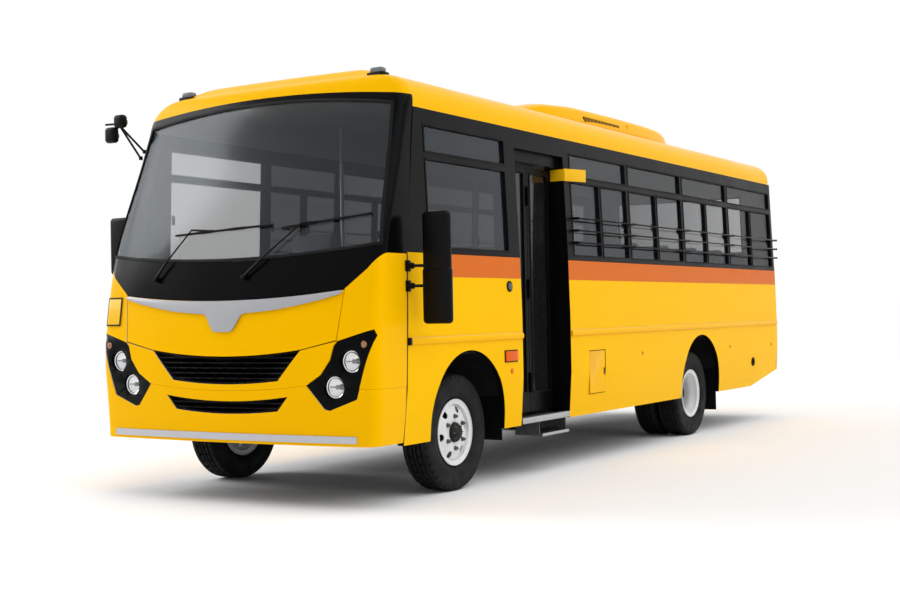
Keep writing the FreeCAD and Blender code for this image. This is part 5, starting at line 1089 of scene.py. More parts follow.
@dataclass
class Wheel:
    """A pressed steel wheel: rims, dished disc with hand holes, nuts and hub."""

    name: str
    node: str
    body: str
    side: int
    rims: tuple[float, ...]
    face: float
    y: float
    disc_section: tuple[Pair, ...]
    hub_reach: float
    hub_radius: float
    nuts: int = 6
    circle: float = 0.111
    axle: float = 0.404
    segments: int = 72
    holes: int = 6
    hole_at: float = 0.163
    hole_radius: float = 0.026
    half_rim: tuple[Pair, ...] = (
        (0.0925, 0.2265), (0.0895, 0.2310), (0.0830, 0.2300), (0.0768, 0.2220),
        (0.0765, 0.2028), (0.0520, 0.2012), (0.0440, 0.2000), (0.0220, 0.1840))
    half_well: tuple[Pair, ...] = (
        (0.0250, 0.1775), (0.0470, 0.1935), (0.0560, 0.1950), (0.0815, 0.1972),
        (0.0832, 0.2170), (0.0870, 0.2240), (0.0900, 0.2235))

    def build(self) -> None:
        """Make the rims, the discs, the nuts and the hub."""
        self.rim()
        self.disc()
        self.fasteners()
        self.hub()

    def rim(self) -> None:
        """Turn each rim from its closed section."""
        form = Form()
        tyre_side = [*self.half_rim, *[(-x, up) for x, up in reversed(self.half_rim)]]
        well_side = [*[(-x, up) for x, up in reversed(self.half_well)], *self.half_well]
        section = [*tyre_side, *well_side, self.half_rim[0]]
        for middle in self.rims:
            form.lathe(section, (middle, self.y, self.axle), (1, 0, 0), self.segments)
        form.piece(f"{self.name}_rim", Paint.WHEEL, self.body, "wheel_paint", (self.node,),
                   math.radians(50))

    def disc(self) -> None:
        """Turn the dished disc, open its round hand holes and thicken it."""
        form = Form()
        way = self.side
        form.lathe([(self.face + way * out, up) for out, up in self.disc_section],
                   (0, self.y, self.axle), (1, 0, 0), self.segments)
        bmesh.ops.remove_doubles(form.mesh, verts=list(form.mesh.verts), dist=FORM_MERGE)
        pitch = self.segments // self.holes
        low, high = self.hole_at - self.hole_radius, self.hole_at + self.hole_radius
        opened = []
        for face in form.mesh.faces:
            spot = face.calc_center_median()
            reach = math.hypot(spot.y - self.y, spot.z - self.axle)
            turn = math.atan2(spot.z - self.axle, spot.y - self.y) / math.tau * self.segments
            if low < reach < high and int(math.floor(turn)) % pitch < 4:
                opened.append(face)
        rim = {vert for face in opened for vert in face.verts}
        bmesh.ops.delete(form.mesh, geom=opened, context="FACES")
        for vert in [vert for vert in rim if vert.is_valid]:
            self.round_hole(vert, pitch)
        piece = form.piece(f"{self.name}_disc", Paint.WHEEL, self.body, "wheel_paint")
        thick = piece.modifiers.new("sheet", "SOLIDIFY")
        thick.thickness = 0.007
        thick.offset = 0.0
        lip = piece.modifiers.new("rolled_edges", "BEVEL")
        lip.width = 0.0016
        lip.segments = 2
        lip.limit_method = "ANGLE"
        lip.angle_limit = math.radians(50)

    def round_hole(self, vert: bmesh.types.BMVert, pitch: int) -> None:
        """Move a vertex of an opening onto the hand hole's circle.

        Args:
            vert: the vertex.
            pitch: how many segments lie from one hole to the next.
        """
        turn = math.atan2(vert.co.z - self.axle, vert.co.y - self.y)
        step = math.tau / self.segments
        hole = math.floor((turn / step + 0.5) / pitch) * pitch * step + 2 * step
        way = Vector((0, math.cos(hole), math.sin(hole)))
        across = Vector((0, -math.sin(hole), math.cos(hole)))
        arm = vert.co - Vector((vert.co.x, self.y, self.axle))
        flat = Vector((arm.dot(way) - self.hole_at, arm.dot(across)))
        flat = flat.normalized() * self.hole_radius
        moved = way * (self.hole_at + flat.x) + across * flat.y
        reach = moved.length
        out = self.section_at(reach)
        vert.co = Vector((self.face + self.side * out, self.y + moved.y, self.axle + moved.z))

    def section_at(self, reach: float) -> float:
        """How far the disc's section stands out at a radius."""
        for (far, high), (near, low) in zip(self.disc_section, self.disc_section[1:]):
            if low <= reach <= high:
                return near + (far - near) * (reach - low) / (high - low)
        return self.disc_section[-1][0]

    def fasteners(self) -> None:
        """Set the wheel nuts, each on its washer, round the hub."""
        form = Form()
        way = self.side
        base = self.face + way * (self.disc_section[-2][0] + 0.003)
        spot = (self.y, self.axle + self.circle)
        form.rod((base, *spot), (base + way * 0.004, *spot), 0.0165, 16)
        form.rod((base, *spot), (base + way * 0.020, *spot), 0.0135, 6, bevel=0.002)
        form.rod((base, *spot), (base + way * 0.028, *spot), 0.007, 10, bevel=0.001)
        form.copy_turned("X", (0, self.y, self.axle), self.nuts)
        form.piece(f"{self.name}_nuts", Paint.ZINC, self.body, "wheel_paint")

    def hub(self) -> None:
        """Turn the dark hub with its cap and its ring of small bolts."""
        form = Form()
        way, face, reach, wide = self.side, self.face, self.hub_reach, self.hub_radius
        form.lathe([(face - way * 0.060, 0.0), (face - way * 0.060, wide),
                    (face + way * (reach - 0.026), wide),
                    (face + way * (reach - 0.020), wide - 0.005),
                    (face + way * (reach - 0.012), wide - 0.014),
                    (face + way * (reach - 0.006), wide - 0.020),
                    (face + way * (reach - 0.005), wide * 0.45),
                    (face + way * (reach - 0.001), wide * 0.38),
                    (face + way * reach, 0.0)], (0, self.y, self.axle), (1, 0, 0), 40)
        form.piece(f"{self.name}_hub", Paint.IRON, self.body, "wheel_paint")
        bolts = Form()
        spot = (self.y, self.axle + wide - 0.012)
        bolts.rod((face + way * (reach - 0.020), *spot), (face + way * (reach - 0.006), *spot),
                  0.005, 6)
        bolts.copy_turned("X", (0, self.y, self.axle), 8)
        bolts.piece(f"{self.name}_hub_bolts", Paint.ZINC, self.body, "wheel_paint")


@dataclass
class Nose:
    """Everything small on the front: lamps, tape, sign and roof markers."""

    upper: Pair = (0.989, 0.941)
    lower: Pair = (0.866, 0.779)
    indicator: Pair = (1.086, 1.048)
    radius: float = 0.070

    def build(self) -> None:
        """Make every front piece."""
        self.lamp_units()
        self.indicators()
        self.tape()
        self.sign()
        self.roof_markers()

    def lamp_face(self, across: float) -> float:
        """The Y of a lamp's face."""
        bow = SKIN.bow - math.sqrt(SKIN.bow ** 2 - across ** 2)
        return at(bow + 0.032)

    def lamp_units(self) -> None:
        """Chromed bowls with a lens, a shade and a bezel, four in all."""
        bowls, lenses, bezels, shades = Form(), Form(), Form(), Form()
        for side in (1, -1):
            for across, up in (self.upper, self.lower):
                face = self.lamp_face(across)
                centre = (across * side, face, up)
                bowls.lathe([(0.012, self.radius - 0.003), (0.022, self.radius - 0.012),
                             (0.029, 0.034), (0.0305, 0.018), (0.031, 0.0)],
                            centre, (0, 1, 0), 40)
                lenses.lathe([(0.010, self.radius - 0.004), (0.0, self.radius - 0.008),
                              (-0.006, self.radius * 0.70), (-0.010, self.radius * 0.35),
                              (-0.0115, 0.0)], centre, (0, 1, 0), 40)
                bezels.lathe([(0.012, self.radius + 0.0015), (-0.003, self.radius + 0.0015),
                              (-0.007, self.radius - 0.002), (-0.005, self.radius - 0.007),
                              (0.010, self.radius - 0.007), (0.012, self.radius + 0.0015)],
                             centre, (0, 1, 0), 48)
                shades.lathe([(0.028, 0.013), (0.012, 0.015), (0.008, 0.011), (0.006, 0.0)],
                             centre, (0, 1, 0), 20)
                shades.block((centre[0] - self.radius * 0.85, face + 0.014, up - 0.003),
                             (centre[0] + self.radius * 0.85, face + 0.018, up + 0.003), 0.001)
        bowls.piece("lamp_bowls", Paint.CHROME, "body", "lamp_glass", ("lamps",))
        lenses.piece("lamp_lenses", Paint.LENS, "body", "lamp_glass")
        bezels.piece("lamp_bezels", Paint.CHROME, "body", "lamp_glass")
        shades.piece("lamp_shades", Paint.ZINC, "body", "lamp_glass")

    def indicators(self) -> None:
        """Round turn lamps in the top of each housing."""
        form = Form()
        across, up = self.indicator
        for side in (1, -1):
            face = at(SKIN.station(across, up) + 0.008)
            form.lathe([(0.012, 0.024), (-0.004, 0.023), (-0.010, 0.016), (-0.012, 0.0)],
                       (across * side, face, up), (0.25 * side, 0.97, 0), 28)
        form.piece("turn_lamps", Paint.FADED, "body", "lamp_glass")

    def tape(self) -> None:
        """The silver strip along the foot of the bumper."""
        form = Form()
        form.block((-1.030, -0.0012, 0.429), (1.030, 0.0, 0.474))
        cross = [edge for edge in form.mesh.edges
                 if abs(edge.verts[0].co.x - edge.verts[1].co.x) > 1.0]
        bmesh.ops.subdivide_edges(form.mesh, edges=cross, cuts=48, use_grid_fill=True)
        form.bend(SKIN.wrap(0.0012))
        form.piece("bumper_tape", Paint.TAPE, "body", "trim_metal")

    def sign(self) -> None:
        """A bare yellow board with a black edge, high on the far front corner."""
        left, right, low, high = -1.128, -0.985, 1.192, 1.378
        board, edge = Form(), Form()
        board.block((left, -0.003, low), (right, 0.0, high), 0.001)
        edge.ring((left + 0.004, low + 0.004), (right - 0.004, high - 0.004), 0.010,
                  lambda x, z: (x, 0.0, z), (0, -0.0045, 0))
        for form, name, paint in ((board, "corner_sign_board", Paint.BOARD),
                                  (edge, "corner_sign_edge", Paint.SEAL)):
            cuts = [line for line in form.mesh.edges
                    if abs(line.verts[0].co.x - line.verts[1].co.x) > 0.05]
            bmesh.ops.subdivide_edges(form.mesh, edges=cuts, cuts=12, use_grid_fill=True)
            form.bend(SKIN.wrap(0.004))
            form.piece(name, paint, "body", "yellow_paint")

    def roof_markers(self) -> None:
        """Two small lamps over the windscreen's corners."""
        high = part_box("lamps")[1]
        form, lens = Form(), Form()
        for side in (1, -1):
            x, y, z = 0.837 * side, at(0.640), high.z - 0.040
            form.block((x - 0.066, y - 0.038, z - 0.034), (x + 0.066, y + 0.044, z + 0.004),
                       0.008, 3)
            lens.block((x - 0.052, y - 0.030, z - 0.006), (x + 0.052, y + 0.036, z + 0.040),
                       0.020, 5)
        form.piece("marker_bases", Paint.SEAL, "body", "black_plastic")
        lens.piece("marker_lenses", Paint.CAP, "body", "lamp_glass")


@dataclass
class Wipers:
    """Two long wiper arms with their blades."""

    sets: tuple[tuple[Pair, Pair, Pair, Pair], ...] = (
        ((-0.640, 1.500), (-0.372, 1.829), (-0.524, 1.798), (0.300, 1.832)),
        ((0.155, 1.494), (0.560, 1.832), (0.403, 1.807), (1.060, 1.870)))
    elbow: float = 0.35
    clip: float = 0.45
    lengths: int = 12
    claws: tuple[int, ...] = (3, 4, 7, 8)

    def build(self) -> None:
        """Make both wipers: pivot, root, arm, link and blade."""
        arms, blades = Form(), Form()
        for pivot, tip, start, end in self.sets:
            arms.rod(self.on_screen(pivot, 0.004), self.on_screen(pivot, 0.040), 0.020, 20,
                     far_radius=0.016, bevel=0.003)
            bend = self.on_screen(self.part(pivot, tip, self.elbow), 0.036)
            arms.rod(self.on_screen(pivot, 0.030), bend, 0.011, 8, far_radius=0.009)
            arms.rod(bend, self.on_screen(tip, 0.034), 0.006, 8, far_radius=0.005)
            middle = self.part(start, end, self.clip)
            arms.rod(self.on_screen(tip, 0.034), self.on_screen(middle, 0.028), 0.007, 8)
            for step in range(self.lengths):
                one = self.part(start, end, step / self.lengths)
                two = self.part(start, end, (step + 1) / self.lengths)
                thick = 0.010 if step in self.claws else 0.0075
                blades.rod(self.on_screen(one, 0.020), self.on_screen(two, 0.020), thick, 6)
                blades.rod(self.on_screen(one, 0.011), self.on_screen(two, 0.011), 0.005, 4)
        arms.piece("wiper_arms", Paint.PLASTIC, "body", "black_plastic", ("wipers",))
        blades.piece("wiper_blades", Paint.SEAL, "body", "black_plastic")

    @staticmethod
    def part(one: Pair, two: Pair, share: float) -> Pair:
        """A point part of the way between two."""
        return (one[0] + (two[0] - one[0]) * share, one[1] + (two[1] - one[1]) * share)

    @staticmethod
    def on_screen(spot: Pair, out: float) -> Point:
        """A point so far ahead of the screen."""
        return (spot[0], at(SKIN.station(*spot)) - out, spot[1])


@dataclass
class Mirrors:
    """Rear-view mirrors on both sides and the small pair high on the far side."""

    x: float = 1.35
    station: float = 0.525
    brackets: Pair = (1.539, 1.410)

    def build(self) -> None:
        """Make the housings, arms and glasses."""
        self.shells, self.arms, self.glasses = Form(), Form(), Form()
        self.housing(self.x, self.station, 1.500, 1.885)
        self.housing(-1.378, 0.485, 1.560, 1.985)
        for side in (1, -1):
            self.lower(side)
        self.high_pair()
        self.shells.piece("mirror_shells", Paint.PLASTIC, "body", "black_plastic", ("mirrors",))
        self.arms.piece("mirror_arms", Paint.PLASTIC, "body", "black_plastic")
        self.glasses.piece("mirror_glasses", Paint.MIRROR, "body", "black_plastic")

    def housing(self, x: float, station: float, low: float, high: float) -> None:
        """Add one upper housing with its glass.

        Args:
            x: the housing's middle.
            station: its station.
            low: its foot.
            high: its top.
        """
        y = at(station)
        self.shells.block((x - 0.102, y - 0.033, low), (x + 0.102, y + 0.026, high), 0.028, 5)
        self.glasses.block((x - 0.086, y + 0.024, low + 0.03), (x + 0.086, y + 0.032, high - 0.02),
                           0.003)

    def lower(self, side: int) -> None:
        """Add the lower housing of one side with both arms."""
        x, y = self.x * side, at(self.station)
        self.shells.block((x - 0.106, y - 0.035, 1.165), (x + 0.106, y + 0.028, 1.530),
                          0.028, 5)
        self.glasses.block((x - 0.092, y + 0.026, 1.190), (x + 0.092, y + 0.034, 1.485), 0.003)
        for up in self.brackets:
            root = 1.170 * side
            foot = at(0.440)
            self.arms.block((min(root, root + 0.014 * side), foot - 0.022, up - 0.036),
                            (max(root, root + 0.014 * side), foot + 0.030, up + 0.036), 0.004)
            self.arms.rod((root, foot, up), (root + 0.052 * side, foot, up), 0.020, 16,
                          bevel=0.004)
            self.arms.rod((root + 0.040 * side, foot, up), (x - 0.05 * side, y, up), 0.010, 14)

    def high_pair(self) -> None:
        """Add the two small mirrors on their thin stay, high on the far side."""
        y = at(0.400)
        for x, z, wide, tall in ((-1.283, 2.682, 0.050, 0.048), (-1.372, 2.588, 0.052, 0.058)):
            self.shells.block((x - wide, y - 0.040, z - tall), (x + wide, y + 0.024, z + tall),
                              0.026, 5)
            self.glasses.rod((x, y + 0.022, z), (x, y + 0.028, z), wide * 0.8, 24, bevel=0.001)
        self.arms.rod((-1.372, y, 2.600), (-1.283, y, 2.672), 0.011, 12)
        self.arms.rod((-1.440, y, 2.672), (-1.330, y, 2.668), 0.008, 10)
        for end in ((-1.130, at(0.475), 2.455), (-1.134, at(0.440), 2.405)):
            self.arms.rod((-1.300, y, 2.655), end, 0.008, 12)
            self.arms.block((end[0] - 0.006, end[1] - 0.014, end[2] - 0.014),
                            (end[0] + 0.010, end[1] + 0.014, end[2] + 0.014), 0.003)


@dataclass
class SideWindows:
    """Seals and catches of the side windows."""

    sill: float = 1.629
    top: float = 2.59
    base: float = 1.165
    tuck: float = 0.040
    columns_left: tuple[Pair, ...] = ((2.880, 3.964), (4.016, 5.224), (5.276, 6.464),
                                      (6.516, 7.860))
    columns_right: tuple[Pair, ...] = ((1.894, 2.828), (2.880, 3.964), (4.016, 5.224),
                                       (5.276, 6.464), (6.516, 7.860))

    def on_side(self, side: int, out: float) -> Callable[[float, float], Point]:
        """A placer of stations and heights on one leaning side.

        Args:
            side: 1 for the door side and -1 for the other.
            out: how far outside the frame's outer face.

        Returns:
            The placer.
        """
        def place(station: float, up: float) -> Point:
            lean = self.tuck * (up - self.sill) / (self.top - self.sill)
            return ((self.base - lean + out) * side, at(station), up)
        return place

    def panes(self, side: int) -> list[tuple[Pair, Pair]]:
        """The openings of one side, as two corners each."""
        low, high, rail_low, rail_high = 1.665, 2.487, 2.262, 2.300
        found = [((0.723, low), (1.816, rail_low)), ((0.723, rail_high), (1.816, high))]
        for front, rear in (self.columns_left if side > 0 else self.columns_right):
            middle = (front + rear) / 2
            found.append(((front, low), (middle - 0.017, rail_low)))
            found.append(((middle + 0.017, low), (rear, rail_low)))
            found.append(((front, rail_high), (rear, high)))
        return found

    def build(self) -> None:
        """Make the seals and catches of both sides."""
        for side, name in ((1, "left"), (-1, "right")):
            seals, catches = Form(), Form()
            for low, high in self.panes(side):
                inner_low = (low[0] + 0.010, low[1] + 0.010)
                inner_high = (high[0] - 0.010, high[1] - 0.010)
                seals.ring(inner_low, inner_high, 0.012, self.on_side(side, -0.016),
                           (0.0195 * side, 0, 0))
                if high[1] < 2.3:
                    mid = (low[1] + high[1]) / 2
                    for station in (low[0] + 0.030, high[0] - 0.030):
                        spot = Vector(self.on_side(side, -0.034)(station, mid))
                        catches.block(tuple(spot - Vector((0.008, 0.012, 0.035))),
                                      tuple(spot + Vector((0.008, 0.012, 0.035))), 0.003)
            seals.piece(f"window_seals_{name}", Paint.SEAL, "body", "black_plastic")
            catches.piece(f"window_catches_{name}", Paint.PLASTIC, "body", "black_plastic")


@dataclass
class Door:
    """Seals, handles and sill of the folding door."""

    leaves: tuple[tuple[str, float, float], ...] = (("front", 1.988, 2.3695),
                                                    ("rear", 2.3755, 2.757))

    def build(self) -> None:
        """Make the seals, the grab rails, the sill and the step edge."""
        for name, front, rear in self.leaves:
            body = f"door_{name}_leaf"
            seal = Form()
            seal.ring((at(front) + 0.054, 0.618), (at(rear) - 0.054, 2.291), 0.014,
                      lambda y, z: (1.0145, y, z), (0.004, 0, 0))
            seal.ring((at(front) + 0.054, 0.618), (at(rear) - 0.054, 2.291), 0.014,
                      lambda y, z: (0.9855, y, z), (-0.004, 0, 0))
            seal.piece(f"door_{name}_seal", Paint.SEAL, body, "black_plastic")
            grab = Form()
            y = at(front) + 0.030 if name == "rear" else at(rear) - 0.030
            grab.rod((0.955, y, 1.15), (0.955, y, 1.75), 0.010, 14, bevel=0.003)
            for up in (1.18, 1.72):
                grab.rod((0.955, y, up), (0.987, y, up), 0.008, 12)
            grab.piece(f"door_{name}_grab_rail", Paint.ALLOY, body, "trim_metal")
        sill = Form()
        sill.block((1.098, at(1.984), 0.4245), (1.156, at(2.761), 0.4425), 0.003)
        sill.block((1.1505, at(1.984), 0.398), (1.1575, at(2.761), 0.4425), 0.002)
        sill.piece("door_sill_edge", Paint.ALLOY, "body", "step_metal")
        step = Form()
        step.block((1.1465, at(2.302), 0.281), (1.1545, at(2.748), 0.303), 0.002)
        step.piece("drop_step_edge", Paint.ALLOY, "body", "step_metal")


@dataclass
class RoofUnit:
    """The moulded cover of the air unit, with its louvres."""

    front: float = 3.085
    rear: float = 6.640
    half: float = 0.655
    foot: float = 2.872
    narrowing: float = 0.10
    squareness: float = 5.0
    rib_count: int = 26
    rib_pitch: float = 0.030
    crest: tuple[Pair, ...] = ((3.085, 2.900), (3.250, 2.975), (3.640, 3.052), (4.100, 3.080),
                               (5.200, 3.088), (6.100, 3.084), (6.420, 3.055), (6.640, 2.950))

    def top(self, station: float) -> float:
        """The height of the cover's crest at a station."""
        for (near, low), (far, high) in zip(self.crest, self.crest[1:]):
            if station <= far:
                share = max(station - near, 0.0) / (far - near)
                eased = share * share * (3 - 2 * share) if high < low else share
                return low + (high - low) * eased
        return self.crest[-1][1]

    def build(self) -> None:
        """Make the cover, its louvres and their ribs."""
        form = Form()
        form.block((-1, -1, -1), (1, 1, 1))
        bmesh.ops.subdivide_edges(form.mesh, edges=list(form.mesh.edges), cuts=31,
                                  use_grid_fill=True)
        form.bend(self.mould)
        form.piece("air_unit_cover", Paint.YELLOW, "body", "yellow_paint", ("roof_air_unit",),
                   math.radians(60))
        louvres = Form()
        ribs = Form()
        for side in (1, -1):
            low = Vector(self.flank(4.230, 2.930, side))
            high = Vector(self.flank(5.010, 2.982, side))
            inner, outer = min(low.x, high.x), max(low.x, high.x)
            louvres.block((inner - 0.002, low.y, low.z), (outer + 0.002, high.y, high.z), 0.006)
            for step in range(self.rib_count):
                y = low.y + self.rib_pitch / 2 + step * self.rib_pitch
                ribs.block((inner - 0.004, y - 0.003, low.z), (outer + 0.004, y + 0.003, high.z),
                           0.001, 1)
            ribs.block((inner - 0.003, at(5.196), 2.910), (outer + 0.002, at(5.204), 3.010), 0.001)
        louvres.piece("air_unit_louvres", Paint.GRILLE, "body", "black_plastic")
        ribs.piece("air_unit_ribs", Paint.BOARD, "body", "yellow_paint")

    def mould(self, point: Vector) -> Vector:
        """Lay a point of a plain cube on the cover.

        Args:
            point: the point, each of its parts between -1 and 1.

        Returns:
            The point of the rounded cover.
        """
        size = sum(abs(part) ** self.squareness for part in point) ** (1 / self.squareness)
        most = max(abs(part) for part in point)
        u, v, w = (point * (most / size)) if size else point
        station = (self.front + self.rear) / 2 + v * (self.rear - self.front) / 2
        nose = 1 - 0.16 * max(-v, 0.0) ** 3 - 0.05 * max(v, 0.0) ** 3
        up = self.foot + (w + 1) / 2 * (self.top(station) - self.foot)
        tuck = 1 - self.narrowing * (w + 1) / 2
        return Vector((u * self.half * nose * tuck, at(station), up))

    def flank(self, station: float, up: float, side: int) -> Point:
        """A point on the cover's flank."""
        share = (up - self.foot) / (self.top(station) - self.foot)
        return (self.half * (1 - self.narrowing * share) * side * 0.985, at(station), up)


@dataclass
class SideFittings:
    """Lamps, locks and boards along the sides."""

    rear_flap_drop: float = 0.095

    def build(self) -> None:
        """Make every fitting."""
        amber, dark, board = Form(), Form(), Form()
        for side in (1, -1):
            amber.block((min(1.172 * side, 1.190 * side), at(1.700), 0.874),
                        (max(1.172 * side, 1.190 * side), at(1.875), 0.947), 0.007, 3)
            dark.block((min(1.170 * side, 1.180 * side), at(1.691), 0.866),
                       (max(1.170 * side, 1.180 * side), at(1.884), 0.955), 0.004)
            for station, up, radius in ((4.174, 0.846, 0.016), (6.410, 0.832, 0.016),
                                        (7.727, 0.817, 0.016), (1.798, 0.800, 0.020)):
                amber.rod((1.172 * side, at(station), up), (1.179 * side, at(station), up),
                          radius, 20, bevel=0.002)
        dark.rod((1.168, at(1.790), 1.416), (1.178, at(1.790), 1.416), 0.040, 28, bevel=0.003)
        lock = Form()
        lock.rod((1.176, at(1.790), 1.416), (1.181, at(1.790), 1.416), 0.027, 24, bevel=0.002)
        lock.block((1.180, at(1.785), 1.396), (1.1835, at(1.795), 1.436), 0.001)
        lock.piece("entry_lock", Paint.ZINC, "body", "black_plastic")
        dark.lathe([(-0.030, 0.030), (0.0, 0.036), (0.004, 0.040), (0.004, 0.046),
                    (-0.004, 0.046)], (1.172, at(7.124), 0.649), (1, 0, 0), 32)
        amber.piece("side_markers", Paint.AMBER, "body", "lamp_glass")
        dark.piece("side_marker_bases", Paint.SEAL, "body", "black_plastic")
        turn = Matrix.Rotation(math.radians(-19), 4, "Z")
        board.block((1.166, at(2.775), 2.258), (1.178, at(3.020), 2.356), 0.003, turn=turn)
        board.block((1.020, at(2.768), 2.258), (1.150, at(2.776), 2.350), 0.002)
        board.piece("door_sign_board", Paint.BOARD, "body", "yellow_paint")
        flaps = panel("mudflaps", Paint.SEAL, 0.002)
        for vert in flaps.data.vertices:
            if vert.co.y > 0 and vert.co.z < 0.35:
                vert.co.z -= self.rear_flap_drop
        latch = Form()
        latch.block((1.1705, at(3.375), 0.700), (1.1745, at(3.395), 0.756), 0.002)
        latch.rod((1.1705, at(3.385), 0.728), (1.1760, at(3.385), 0.728), 0.006, 14)
        latch.piece("service_flap_latch", Paint.PLASTIC, "service_flap", "black_plastic")


@dataclass
class Tail:
    """Lamps, blank plate, grab rails and rubbing strip of the tail."""

    radius: float = 9.0
    station: float = 8.120
    lamp_x: float = 0.985
    lamp_heights: Point = (0.980, 0.880, 0.780)
    reflector: Pair = (0.700, 0.640)
    rail_x: float = 0.840

    def y(self, across: float, proud: float) -> float:
        """The Y of the tail's skin."""
        return at(self.station) - (self.radius - math.sqrt(self.radius ** 2 - across ** 2)) + proud

    def build(self) -> None:
        """Make every tail piece."""
        red, amber, clear, frames = Form(), Form(), Form(), Form()
        for side in (1, -1):
            x = self.lamp_x * side
            frames.block((x - 0.056, self.y(x, -0.004), 0.716),
                         (x + 0.056, self.y(x, 0.003), 1.044), 0.006, 3)
            for form, up in zip((red, amber, clear), self.lamp_heights):
                form.lathe([(0.002, 0.041), (0.012, 0.040), (0.018, 0.030), (0.020, 0.0)],
                           (x, self.y(x, -0.002), up), (0, 1, 0), 32)
                frames.lathe([(0.0, 0.048), (0.010, 0.048), (0.012, 0.045), (0.012, 0.0415),
                              (0.0, 0.0415)], (x, self.y(x, -0.003), up), (0, 1, 0), 32)
            x = self.reflector[0] * side
            red.lathe([(0.002, 0.032), (0.009, 0.031), (0.012, 0.022), (0.013, 0.0)],
                      (x, self.y(x, -0.001), self.reflector[1]), (0, 1, 0), 28)
        red.block((-0.150, self.y(0.1, -0.004), 2.540), (0.150, self.y(0.0, 0.010), 2.566), 0.004)
        red.piece("tail_lamps", Paint.RED, "body", "lamp_glass")
        amber.piece("tail_turn_lamps", Paint.AMBER, "body", "lamp_glass")
        clear.piece("reversing_lamps", Paint.CAP, "body", "lamp_glass")
        frames.piece("tail_lamp_rims", Paint.SEAL, "body", "black_plastic")
        plate = Form()
        plate.block((-0.26, self.y(0.2, -0.004), 0.700), (0.26, self.y(0.0, 0.006), 0.820), 0.003)
        plate.piece("blank_plate", Paint.TRIM, "body", "trim_metal")
        handles = Form()
        for x in (-self.rail_x, self.rail_x):
            handles.rod((x, self.y(x, 0.014), 1.150), (x, self.y(x, 0.014), 1.420), 0.008, 14,
                        bevel=0.003)
            for up in (1.165, 1.405):
                handles.rod((x, self.y(x, -0.004), up), (x, self.y(x, 0.014), up), 0.007, 12)
        handles.piece("tail_grab_rails", Paint.PLASTIC, "body", "black_plastic")
        bumper = Form()
        bumper.block((-0.980, 0.0, 0.552), (0.980, 0.006, 0.600), 0.002)
        cross = [edge for edge in bumper.mesh.edges
                 if abs(edge.verts[0].co.x - edge.verts[1].co.x) > 1.0]
        bmesh.ops.subdivide_edges(bumper.mesh, edges=cross, cuts=24, use_grid_fill=True)
        bumper.bend(lambda point: Vector((point.x, self.y(point.x, point.y - 0.002), point.z)))
        bumper.piece("tail_rubbing_strip", Paint.SEAL, "body", "black_plastic")


